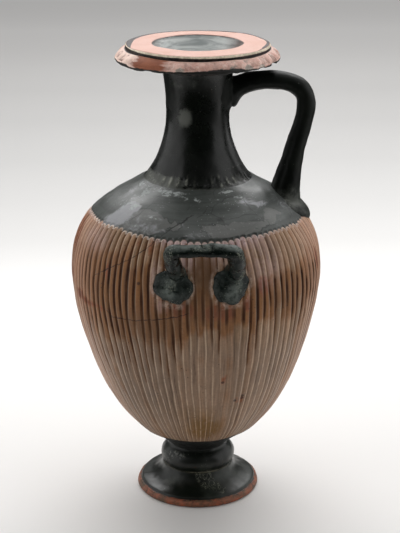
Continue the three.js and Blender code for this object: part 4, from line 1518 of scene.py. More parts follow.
    def tide(self, azimuths: Array, height: Array, uneven: Array) -> Array:
        """Gives 1 in the brown belt that old water left: its top and foot follow two uneven lines.

        Args:
            azimuths: Where each vertex stands.
            height: The rows' heights.
            uneven: How far each rib's lines stand off, in millimetres.

        Returns:
            The share of the belt's brown.
        """
        turn = np.degrees(np.arctan2(np.sin(azimuths), np.cos(azimuths)))
        top, foot = np.interp(turn, *self.tide_top), np.interp(turn, *self.tide_foot)
        foot = foot + 5 * np.sin(turn / 7.0) + 3 * np.sin(turn / 2.9 + 1)
        foot = foot + self.tide_unevenness_factor * uneven
        rising = smooth_step(height, foot - 13, foot + 11)
        return rising * (1 - smooth_step(height, top + uneven - 7, top + uneven + 7))

    def paint(self, skin: Skin, rows: Array, marks: dict[str, Array], first: int, last: int) -> None:
        """Gives every vertex the marks that the finish reads.

        Args:
            skin: The skin to mark.
            rows: The whole skin's rows.
            marks: The ribs' marks on the outer wall's rows.
            first: The outer wall's first row.
            last: The row after its last.
        """
        outer = rows[first:last]
        height = outer[..., 2]
        azimuth = azimuth_of(outer)
        turn = np.degrees(azimuth)

        def keep(name: str, values: Array, elsewhere: float = 0.0) -> None:
            """Spreads the outer wall's values over the whole skin."""
            whole = np.full(rows.shape[:2], elsewhere)
            whole[first:last] = values
            skin.mark(name, whole)

        keep("zone", marks["zone"], 2.0)
        keep("clog", marks["clog"], 1.0)
        for name in ("across", "tone", "edge", "shaded", "grain_x", "grain_y", "grain_z"):
            keep(name, marks[name])
        for name, spots in RIB_PATCHES.items():
            keep(name, painted(outer, spots))
        # Painted light on the jar's sides, and a little on the upper right ribs.
        lit_flanks = smooth_step(np.abs(turn), 46, 74) * (1 - 0.85 * smooth_step(np.abs(turn), 104, 132))
        keep("flank", lit_flanks + 0.25 * smooth_step(turn, 14, 40) * smooth_step(height, 246, 256))
        keep("warm", painted(outer, WARM_PATCHES) + self.tide_warmth * marks["tide"])
        keep("calm", 1 - smooth_step(height + self.calm_lift * np.abs(np.sin(azimuth)), *self.calm_heights))
        halo = sum(np.exp(-(((plate.at(outer) - self.halo_level) / self.halo_width) ** 2))
                   for plate in self.plate_spots)
        keep("halo", np.clip(self.halo_share * halo, 0, 1))
        keep("under", np.clip(height - self.rib_foot - 0.6, -2, 2), -2.0)
        tip_pink = marks["tip"] * (0.55 + 0.45 * np.sin(azimuth * 3 + 1.0))
        keep("pink", np.clip(painted(outer, PINK_PATCHES) + self.tip_pink_share * tip_pink, 0, 1))
        # Worn pale outline and painted highlight on the tips, stronger on the front left.
        keep("arc", marks["arc"] * (1 - 0.5 * smooth_step(np.abs(turn + 46), 24, 34)))
        beside = np.full(height.shape, CRACK_SIDE)
        reach = np.zeros(height.shape)
        for crack in self.cracks:
            off, near = crack.at(outer, self.wall)
            closer = near * np.exp(-np.abs(off)) > reach * np.exp(-np.abs(beside))
            beside, reach = np.where(closer, off, beside), np.where(closer, near, reach)
        keep("crack", beside, CRACK_SIDE)
        keep("crack_reach", reach)


@dataclass
class Neck:
    """The thrown neck: a wide flare on the shoulder, a slender throat and the bore."""

    levels: Levels
    columns: int = 324
    tick_count: int = 36
    foot_radius: float = 50.5
    throat_radius: float = 29.2
    throat_rise: float = 64.0
    top_radius: float = 33.0
    rim: float = 7.0
    wall_thickness: float = 5.5
    shoulder_angle: float = 34.7
    tick_depth: float = 0.3
    tick_rise: float = 4.6
    tick_tall: float = 4.4
    worn_height: float = 321.0
    worn_tall: float = 3.8
    wall: Wall = field(init=False)

    lime = (
        Spot(-66, 319, 9, 2.0), Spot(30, 318.5, 9, 1.5, 0.9), Spot(-80, 323, 14, 2, 0.7),
        Spot(55, 330, 12, 0.6, 0.9), Spot(150, 317, 30, 2, 0.7), Spot(-150, 317, 30, 2, 0.6))
    worn_arcs = (Spot(-36, 320, 20, 14), Spot(32, 320, 12, 14, 0.9), Spot(180, 320, 60, 14, 0.8))
    film = (
        Spot(-26.5, 377, 8.2, 9, 0.56), Spot(-54, 319, 34, 7, 0.55), Spot(46, 318, 26, 6, 0.3),
        Spot(-30, 408, 20, 6, 0.25), Spot(180, 322, 60, 8, 0.6), Spot(0, 315, 30, 2, 0.4),
        Spot(-40, 352, 26, 22, 0.12))

    def __post_init__(self) -> None:
        """Works out the neck's wall table."""
        foot, top = self.levels.body_top, self.levels.neck_top
        throat = foot + self.throat_rise
        self.flare = angled((self.foot_radius, foot), 180 - self.shoulder_angle, 0.17 * self.throat_rise,
                            (self.throat_radius, throat), 90, 0.53 * self.throat_rise)
        self.lift = angled((self.throat_radius, throat), 90, 0.42 * (top - throat),
                           (self.top_radius, top), 70, 0.22 * (top - throat))
        self.wall = Wall([self.flare, self.lift])

    def build(self) -> None:
        """Builds the wall up, the rim and the bore down to a closed loop, and dresses it."""
        foot, top = self.levels.body_top, self.levels.neck_top
        outer = evenly(self.wall.table, 1.1)
        near_start = 0.9 * outer[:1] + 0.1 * outer[1:2]
        outer = np.concatenate([outer[:1], near_start, outer[1:], [[self.top_radius, top]]])
        bore = self.wall.lining(40, self.wall_thickness)
        bore = bore[(bore[:, 1] > foot + 3) & (bore[:, 1] < top - 3)]
        profile = np.concatenate([outer, [[self.top_radius - self.rim, top]], bore,
                                  [[self.foot_radius - self.rim, foot], [self.foot_radius - 0.3, foot]]])
        turns = spread(self.columns)
        plain = revolved(profile, turns)
        outside = (np.arange(len(profile)) < len(outer) - 1)[:, None]
        hand = Ripple(41, 0.28, 60).at(plain) + Ripple(42, 0.06, 12).at(plain)
        hand *= outside * smooth_step(plain[..., 2], foot, foot + 6)
        hand *= 1 - smooth_step(plain[..., 2], top - 5, top)
        ticks, between = self.ticks(plain)
        rows = revolved(profile, turns, hand - self.tick_depth * ticks * outside)
        skin = Skin.wrapped(rows, joined=True)
        near_ticks = np.exp(-(((rows[..., 2] - self.worn_height) / self.worn_tall) ** 2)) * between
        skin.mark("lime", 0.6 * painted(rows, self.lime) * outside)
        skin.mark("strokes", near_ticks * painted(rows, self.worn_arcs) * outside)
        skin.mark("film", painted(rows, self.film) * outside)
        finish = BlackGlaze("neck_finish", gloss=0.24, dull=0.36, haze=0.08, specks=0.5, sheen=0.4,
                            deep=DARKEST_GLAZE)
        dress("thrown_neck", skin, finish.build(), ["neck"])

    def ticks(self, points: Array) -> tuple[Array, Array]:
        """Presses a ring of small tongues into the neck's root.

        Each is an oval a third as wide as the spacing: 1 inside and 0 outside, with a soft rim.

        Args:
            points: The wall's places.

        Returns:
            The pressing from 0 to 1, and how near each place is to the spaces between tongues.
        """
        share = azimuth_of(points) * self.tick_count / (2 * np.pi)
        off = np.abs(share - np.round(share))
        along = (points[..., 2] - (self.levels.body_top + self.tick_rise)) / self.tick_tall
        inside = 1 - smooth_step(np.hypot(off / 0.30, along), 0.55, 1.0)
        return inside, smooth_step(off, 0.27, 0.46)


@dataclass
class Mouth:
    """The mouth: a broad flat lip with an egg-and-dart edge, and a funnel into the neck."""

    levels: Levels
    columns: int = 384
    egg_count: int = 24
    neck_radius: float = 33.0
    neck_rim: float = 7.0
    lip_radius: float = 74.8
    lip_edge_drop: float = 12.8
    band_top_radius: float = 67.4
    margin_radius: float = 65.5
    margin_drop: float = 2.8
    bore_radius: float = 41.0
    relief: float = 1.05
    rim_turns: tuple[float, ...] = (-180, -140, -100, -75, -50, -30, 0, 50, 75, 100, 140, 180)
    dark_edges: tuple[float, ...] = (-0.6, -0.6, -0.8, -1.2, -1.6, -2.0, -2.3, -2.5, -2.1, -1.1, -0.6, -0.6)
    worn_widths: tuple[float, ...] = (0.4, 0.4, 0.9, 1.3, 1.6, 1.9, 2.3, 2.4, 2.0, 1.2, 0.4, 0.4)
    margin_turns: tuple[float, ...] = (-180, -140, -115, -95, -84, -74, -66, 50, 64, 110, 140, 180)
    margin_widths: tuple[float, ...] = (6.2, 6.0, 6.6, 6.8, 5.0, 2.2, 0.0, 0.0, 2.4, 3.8, 5.4, 6.2)
    hair_levels: tuple[float, ...] = (0.1, 0.2, 0.5, 0.5, 0.4, 0.1, 0.1, 0.6, 0.8, 0.5, 0.1, 0.1)
    low_turns: tuple[float, ...] = (-180, -84, -64, -54, -30, -14, -2, 12, 26, 34, 52, 66, 84, 180)
    low_levels: tuple[float, ...] = (
        11.2, 12.0, 12.6, 11.6, 11.8, 12.0, 12.8, 14.0, 13.6, 11.8, 11.4, 12.4, 12.0, 11.2)
    bore_shift: float = 2.0
    mend_relief: float = 0.25
    chip_depth: float = 2.6

    flecks = (
        Spot(14, 427, 3.5, 3), Spot(22, 427, 2.6, 4, 0.9), Spot(35, 428, 4, 3, 0.8), Spot(8, 426, 2, 2, 0.7),
        Spot(47, 427, 4, 3, 0.8), Spot(-14, 428, 3, 3, 0.7), Spot(0, 425, 8, 2, 0.6),
        Spot(20, 427, 40, 5, 0.12), Spot(150, 428, 60, 5, 0.5))
    pale_end = (Spot(-72, 428, 28, 20, 1.2),)
    mend_start = (-53, -49.5)
    mend_end = (-28, -24.5)

    def build(self) -> None:
        """Builds the loop: seat, under-lip, carved band, margin, flat top, bore and funnel."""
        seat, top = self.levels.neck_top, self.levels.mouth_top
        edge = top - self.lip_edge_drop
        band_top = top - self.margin_drop - 2
        under = bezier([(self.neck_radius, seat), (self.neck_radius + 3, seat + 11.5),
                        (self.lip_radius - 9, seat + 11.6)], np.linspace(0, 1, 22))
        lip = rounded([(self.lip_radius - 9, seat + 11.6, 0), (self.lip_radius - 4.2, seat + 9.8, 1.4),
                       (self.lip_radius - 0.3, seat + 9.4, 1.1), (self.lip_radius + 0.3, seat + 11.2, 1.0),
                       (self.lip_radius - 0.3, edge + 1.5, 0)], 6)[1:]
        shares = np.linspace(0.19, 1, 30)
        band = np.stack([self.lip_radius - 0.1 + (self.band_top_radius - self.lip_radius) * shares**1.7,
                         edge + (band_top - edge) * shares], axis=1)
        rim = rounded([(self.band_top_radius, band_top, 0), (self.margin_radius - 0.2, band_top + 0.2, 0.5),
                       (self.margin_radius + 0.2, band_top + 1.2, 0.5),
                       (self.margin_radius + 0.1, top - 0.8, 1.1), (self.margin_radius - 1.3, top, 1.0),
                       (self.bore_radius + 1.2, top, 0.9), (self.bore_radius - 0.4, top - 1.4, 1.0),
                       (self.bore_radius - 1.0, top - 2.8, 0)], 6)[1:]
        funnel = bezier([(self.bore_radius - 1.0, top - 2.8), (self.bore_radius - 6, top - 12),
                         (self.neck_radius - self.neck_rim, seat)], np.linspace(0, 1, 16))[1:]
        corner = 24
        steps = np.linspace(0, 1, 24)[1:-1, None] ** 2
        flat = rim[corner - 1] + steps * (rim[corner] - rim[corner - 1])
        rim = np.concatenate([rim[:corner], flat, rim[corner:]])
        profile = np.concatenate([under, lip, band, rim, funnel])
        start = len(under) + len(lip)
        on_band = np.zeros(len(profile))
        on_band[start - 14:start + len(band)] = 1
        share = np.zeros(len(profile))
        share[start:start + len(band)] = shares
        turns = spread(self.columns)
        plain = revolved(profile, turns)
        mend = self.mend(plain)
        eggs, hollow = self.carving(plain, share[:, None])
        hand = Ripple(51, 0.25, 55).at(plain) + Ripple(52, 0.09, 9).at(plain) * on_band[:, None]
        hand *= smooth_step(plain[..., 2], seat + 0.5, seat + 5)
        worn = (eggs * (1 - mend) + self.mend_relief * mend) * on_band[:, None]
        chip = painted(plain, [Spot(64, edge - 1.0, 5.0, 2.6, 1.0), Spot(22, edge - 1.5, 3, 1.2, 0.3),
                               Spot(-38, edge - 1, 5, 1.6, 0.3), Spot(48, edge - 1.5, 4, 1.5, 0.35)])
        rows = revolved(profile, turns, hand + self.relief * worn - self.chip_depth * chip)
        rows[start + len(band) + corner:, :, 1] += self.bore_shift
        skin = Skin.wrapped(rows, joined=True)
        self.paint(skin, rows, profile, on_band, hollow, mend)
        dress("egg_and_dart_mouth", skin, ReservedClay().build(), ["mouth"])

    def mend(self, points: Array) -> Array:
        """Gives 1 on the plain restored stretch of the band and 0 elsewhere."""
        turn = np.degrees(azimuth_of(points))
        ragged = 1.6 * np.sin(points[..., 2] * 1.1) + 1.2 * np.sin(points[..., 2] * 2.7 + 1)
        begun = smooth_step(turn + ragged, *self.mend_start)
        return begun * (1 - smooth_step(turn - ragged, *self.mend_end))

    def carving(self, points: Array, share: Array) -> tuple[Array, Array]:
        """Carves eggs between darts.

        With e across an egg from -1 to 1 and t up the band, the egg is the dome
        √(1 - (e/0.6)² - ((t - 0.66)/0.6)²), a rim runs round it, and a dart stands at e = ±1.

        Args:
            points: The mouth's places.
            share: How far up the band each row is.

        Returns:
            The relief from about -1 to 1, and how deep in a hollow each place is.
        """
        across = azimuth_of(points) * self.egg_count / (2 * np.pi)
        egg = 2 * (across - np.round(across))
        dome = np.sqrt(np.maximum(1 - (egg / 0.58) ** 2 - ((share - 0.68) / 0.62) ** 2, 0))
        ring = np.hypot(egg / 0.82, (share - 0.72) / 0.82)
        rim = np.exp(-(((ring - 0.93) / 0.1) ** 2))
        dart = np.exp(-(((1 - np.abs(egg)) / 0.1) ** 2)) * smooth_step(share, 0.15, 0.5)
        relief = 0.95 * dome + 0.55 * rim + 0.5 * dart - 0.35
        fade = smooth_step(share, 0.1, 0.25) * (1 - smooth_step(share, 0.9, 1.0))
        return relief * fade, np.clip(0.75 - relief, 0, 1) * fade

    def paint(self, skin: Skin, rows: Array, profile: Array, on_band: Array, hollow: Array,
              mend: Array) -> None:
        """Marks the margin, the band, its hollows and mend, the edges and the funnel.

        Args:
            skin: The skin to mark.
            rows: Its rows.
            profile: Radius and height of each row.
            on_band: 1 for each row of the carved band.
            hollow: How deep in a hollow of the carving each place is.
            mend: 1 on the plain restored stretch.
        """
        radius, height = profile[:, :1], profile[:, 1:]
        top = self.levels.mouth_top
        flat = 0 * rows[..., 0]
        band_rows = np.flatnonzero(on_band)
        after_band = np.arange(len(profile))[:, None] > band_rows[-1]
        before_band = np.arange(len(profile))[:, None] < band_rows[0]
        turned = np.degrees(azimuth_of(rows))
        inward = (self.margin_radius - radius) - (top - height)
        dark_edge, worn_width, hair = (np.interp(turned, self.rim_turns, levels) for levels in
                                       (self.dark_edges, self.worn_widths, self.hair_levels))
        margin_width = np.interp(turned, self.margin_turns, self.margin_widths)
        on_top = np.minimum(inward - 0.4, margin_width - inward)
        outer = np.maximum(np.maximum(dark_edge - inward, on_top), self.bore_radius + 0.4 - radius) / 0.5
        beside = np.minimum(inward - dark_edge + 0.3, dark_edge + worn_width - inward) / 0.4
        hair_line = np.exp(-(((inward - dark_edge - worn_width - 0.2) / 0.3) ** 2))
        stain = np.exp(-(((turned - 106) / 26) ** 2)) + 0.55 * np.exp(-(((turned + 102) / 20) ** 2))
        below = (self.levels.neck_top + np.interp(turned, self.low_turns, self.low_levels) - height) / 1.2
        lip_edge = np.where(before_band, 2.0, np.where(after_band, -2.0, below))
        in_funnel = after_band & (radius < self.bore_radius + 0.4) & (height < top - 1.0)
        ring = np.exp(-(((radius - self.bore_radius - 0.1) / 0.55) ** 2))
        marks = {
            "margin": np.clip(np.where(after_band, outer, 1.0), -1, 1),
            "rubbed": np.clip(np.where(after_band & (radius > 55), beside, -1.0), -1, 1),
            "hair": hair * hair_line * after_band,
            "flecks": painted(rows, self.flecks),
            "rim_grey": smooth_step(np.abs(turned + 10), 42, 76),
            "ends": smooth_step(np.abs(turned + 4), 52, 66),
            "funnel_stain": stain,
            # Painted shade: the funnel is darkened below its upper part.
            "funnel_depth_shade": after_band * (1 - smooth_step(height, top - 22.0, top - 16.0)),
            "band": on_band[:, None],
            "hollow": hollow,
            "mend": mend * on_band[:, None],
            "lip_edge": np.clip(lip_edge, -2, 2),
            "pale_end": painted(rows, self.pale_end) * on_band[:, None],
            # Painted shade along the bore's edge.
            "bore_edge_shade": ring * after_band,
            "funnel": np.where(in_funnel, 1.0, 0.0),
        }
        for name, values in marks.items():
            skin.mark(name, values + flat)


@dataclass
class PouringHandle:
    """The upright handle with the clay pad over its lower join."""

    levels: Levels
    body: Wall
    neck: Wall
    seat_drop: float = 22.0
    crest_drop: float = 10.2
    root_radius: float = 81.0
    bulge: float = 18.8
    width: float = 22.0
    thickness: float = 16.6
    pad_drop: float = 27.5
    root_lift: float = 6.0
    voxel: float = 0.7
    soften: int = 22
    sides: int = 56
    azimuth: float = 90.0
    pad_middle_drop: float = 26.0
    collar_drop: float = 22.5

    lime = (Spot(72, 297, 8, 6, 0.5), Spot(88, 276, 26, 4, 0.35))
    film = (Spot(90, 284, 60, 16, 0.3), Spot(78, 300, 20, 10, 0.25))

    def route(self) -> Array:
        """Follows three curves: over the neck's side, round the corner and down to the pad."""
        seat = self.levels.neck_top - self.seat_drop
        crest = self.levels.neck_top - self.crest_drop
        corner_end = crest - 23.5
        root = self.levels.body_top - self.pad_drop + self.root_lift
        drop = corner_end - root
        face = float(self.neck.radius(np.array(seat)))
        reach = self.root_radius + self.bulge
        middle = (face + reach) / 2
        shares = np.linspace(0, 1, 40)
        over = [(face - 3.6, seat + 0.5), (face + 5, seat + 4.5), (middle - 19, crest), (middle, crest)]
        corner = [(middle, crest), (reach - 11, crest), (reach, crest - 8), (reach, corner_end)]
        down = [(reach, corner_end), (reach, corner_end - 0.18 * drop),
                (self.root_radius + 3.5, root + 0.42 * drop), (self.root_radius, root - 2)]
        line = [bezier(over, shares)[:-1], bezier(corner, shares)[:-1], bezier(down, shares)]
        line = evenly(np.concatenate(line), 1.6)
        return np.stack([line[:, 0], np.zeros(len(line)), line[:, 1]], axis=1)

    def build(self) -> None:
        """Joins the pulled handle and its pad, adds what the fingers left, and dresses it."""
        path = self.route()
        share = np.linspace(0, 1, len(path))
        length = np.linalg.norm(np.diff(path, axis=0), axis=1).sum()
        into_neck = np.clip(1 - (share * length - 3.0) / 12.0, 0, 1)
        fillet = 4.0 * into_neck**2
        neck_part = 0.35 * np.maximum(0, 1 - share / 0.2) ** 2
        root_part = 0.95 * np.maximum(0, (share - 0.62) / 0.38) ** 2
        waver = 1 + 0.02 * np.sin(share * 23) + 0.015 * np.sin(share * 51 + 1)
        half_width = (self.width / 2) * (1 + 0.8 * root_part) * waver
        half_thickness = (self.thickness / 2) * (1.03 + neck_part + root_part) * waver + fillet
        handle = tube(path, half_width, half_thickness, np.array([0.0, 1.0, 0.0]), self.sides)
        pad_height = self.levels.body_top - self.pad_middle_drop
        collar_height = self.levels.neck_top - self.collar_drop
        pad = ClayPad(self.azimuth, pad_height, width=58, tall=29, thickness=5.0, ragged=0.03, seed=61,
                      sink=2.2, edge=-0.6, power=0.8)
        collar = ClayPad(self.azimuth, collar_height, width=54, tall=38, thickness=4.2, ragged=0.03,
                         seed=67, sink=2.2, edge=-0.5, power=1.7)
        parts = [handle, pad.skin(self.body), collar.skin(self.neck)]
        skin = luted("tall_handle_join", parts, self.voxel, self.soften)
        hand = Ripple(62, 0.28, 28, 30).at(skin.points) + Ripple(63, 0.07, 9, 40).at(skin.points)
        skin.points += outward_ways(skin) * hand[:, None]
        skin.mark("lime", painted(skin.points, self.lime))
        skin.mark("film", painted(skin.points, self.film))
        finish = BlackGlaze("handle_finish", gloss=0.4, dull=0.55, haze=0.08, specks=0.4, sheen=0.18,
                            deep=DARKEST_GLAZE)
        nodes = ["pouring_handle", "pouring_handle_pad"]
        dress("pouring_handle_clay", skin, finish.build(), nodes)


@dataclass
class LiftingHandle:
    """A lifting handle: a grip bent from two legs, each on a ragged clay plate."""

    name: str
    side: str
    azimuth: float
    levels: Levels
    body: Wall
    seed: int
    belly_height: float = 226.0
    belly_radius: float = 117.5
    plate_rise: float = 19.0
    plate_width: float = 34.0
    plate_tall: float = 31.5
    plate_thickness: float = 7.4
    plate_spacing: float = 50.2
    leg_radius: float = 6.8
    grip_radius: float = 5.6
    grip_spacing: float = 56.0
    grip_reach: float = 27.5
    grip_rise: float = 42.8
    corner_radii: tuple[float, float] = (11.0, 15.0)
    voxel: float = 0.55
    leg_leans: tuple[float, float] = (1.6, 1.8)
    path_points: int = 130
    sides: int = 40
    soften: int = 28
    waver: float = 0.02

    width_way = (0.6, 0.5, 0.62)
    waver_lengths = (6.1, 8.3, 14.0)

    # Painted sheen on the plates, carried by the dust mark.
    glossy = (
        Spot(-14, 246, 7, 10, 0.75), Spot(13, 242, 7, 9, 0.75), Spot(15, 253, 4, 9, 0.5),
        Spot(0, 246, 40, 16, 0.22))
    crusts = (
        Spot(-13, 288, 8, 9, 2.4), Spot(13, 288, 7, 7, 1.3), Spot(14.5, 280, 5, 8, 0.6),
        Spot(0, 293, 12, 2.5, 0.9), Spot(-13, 250, 7, 8, 0.75), Spot(-7, 263, 4, 3, 1.2),
        Spot(15, 252, 5, 12, 0.8), Spot(16, 262, 5, 6, 0.8), Spot(-12, 233, 14, 2, 0.7),
        Spot(12, 233, 14, 2, 0.5), Spot(-5, 246, 2, 12, 0.6))
    scars = (
        Spot(2.5, 286, 3, 7), Spot(10, 283, 8, 4, 0.6), Spot(5, 262, 4, 6, 0.7), Spot(-6, 251, 4, 4, 0.7))

    def plates(self) -> list[ClayPad]:
        """Gives the left and right plates, in the frame whose front faces the handle."""
        height = self.belly_height + self.plate_rise + 2.0
        off = math.degrees(math.asin(self.plate_spacing / 2 / float(self.body.radius(np.array(height)))))
        return [ClayPad(side * off, height, self.plate_width, self.plate_tall, self.plate_thickness,
                        ragged=0.07, seed=self.seed + side, sink=1.6, edge=1.2, power=0.6)
                for side in (-1, 1)]

    def route(self) -> Array:
        """Goes up one leg, along the grip and down the other, with a round bend at each corner."""
        shares = np.linspace(0, 1, 16)
        legs = []
        for plate, side, lean, bend in zip(self.plates(), (-1, 1), self.leg_leans, self.corner_radii):
            turn = math.radians(plate.azimuth + lean)
            face = float(self.body.stand_off(np.array(plate.height + 12), np.array(plate.thickness)))
            root = around(turn, np.array(face - 8), np.array(plate.height + 10.5))
            elbow = around(turn, np.array(face + 1.5), np.array(plate.height + 14))
            corner = np.array([side * self.grip_spacing / 2, -(self.belly_radius + self.grip_reach),
                               plate.height + self.grip_rise])
            up = (corner - elbow) / np.linalg.norm(corner - elbow)
            above, below = elbow + 6 * up, corner - 0.8 * bend * up
            inward = corner - np.array([side * bend, 0, 0])
            bends = [bezier([root, elbow, above], shares), bezier([below, corner, inward], shares)]
            legs.append(np.concatenate(bends))
        whole = np.concatenate([legs[0], legs[1][::-1]])
        steps = np.linalg.norm(np.diff(whole, axis=0), axis=1)
        along = np.concatenate([[0], np.cumsum(steps)])
        wanted = np.linspace(0, along[-1], self.path_points)
        return np.stack([np.interp(wanted, along, whole[:, k]) for k in range(3)], axis=1)

    def build(self) -> None:
        """Joins handle and plates, roughens them, marks crust and scar, and dresses the piece."""
        path = self.route()
        share = np.abs(np.linspace(-1, 1, len(path)))
        radius = self.grip_radius + (self.leg_radius - self.grip_radius) * smooth_step(share, 0.2, 0.5)
        radius = radius * (1 + 0.1 * smooth_step(share, 0.42, 0.62) + 0.12 * smooth_step(share, 0.8, 1.0))
        radius = radius * (1 + 0.1 * smooth_step(np.linspace(-1, 1, len(path)), 0.04, 0.12))
        draw = np.random.default_rng(self.seed)
        steps = np.arange(len(path))
        waves = [np.sin(steps / length + draw.uniform(0, 6)) for length in self.waver_lengths]
        radius = radius * (1 + sum(self.waver * wave for wave in waves))
        handle = tube(path, radius, radius, np.array(self.width_way), self.sides)
        plates = [plate.skin(self.body) for plate in self.plates()]
        skin = luted(self.name + "_join", [handle, *plates], self.voxel, self.soften)
        hand = Ripple(self.seed + 5, 0.36, 17, 40).at(skin.points)
        hand += Ripple(self.seed + 6, 0.1, 7, 40).at(skin.points)
        skin.points += outward_ways(skin) * hand[:, None]
        # The dust mark: dust on upward faces, which also paints light from above on the grip's top, and a
        # painted sheen on the plates from the glossy spots.
        upward, height = outward_ways(skin)[:, 2], skin.points[:, 2]
        dust_and_top_light = smooth_step(upward, 0.05, 0.75) * smooth_step(height, 276, 285)
        shining = painted(skin.points, self.glossy) * (1 - smooth_step(height, 260, 266))
        skin.mark("dust", np.maximum(dust_and_top_light, shining))
        skin.mark("crust", painted(skin.points, self.crusts))
        skin.mark("scar", painted(skin.points, self.scars))
        turn = math.radians(self.azimuth)
        cosine, sine = math.cos(turn), math.sin(turn)
        x, y = skin.points[:, 0].copy(), skin.points[:, 1].copy()
        skin.points[:, 0], skin.points[:, 1] = cosine * x - sine * y, sine * x + cosine * y
        dress(self.name, skin, CrustedGlaze(self.name + "_finish").build(),
              [f"{self.side}_lifting_handle", f"{self.side}_left_plate", f"{self.side}_right_plate"])


@dataclass
class Softbox:
    """A soft studio lamp.

    Attributes:
        name: Its name.
        place: Where it hangs, in metres.
        aim: What it points at.
        size: Its width and height.
        power: Its power in watts.
    """

    name: str
    place: tuple[float, float, float]
    aim: tuple[float, float, float]
    size: tuple[float, float]
    power: float

    def build(self) -> None:
        """Hangs the lamp and turns it to its aim."""
        lamp = bpy.data.lights.new(self.name, "AREA")
        lamp.shape = "RECTANGLE"
        lamp.size, lamp.size_y = self.size
        lamp.energy = self.power
        holder = bpy.data.objects.new(self.name, lamp)
        holder.location = self.place
        holder.rotation_euler = (Vector(self.aim) - Vector(self.place)).to_track_quat("-Z", "Y").to_euler()
        bpy.context.scene.collection.objects.link(holder)


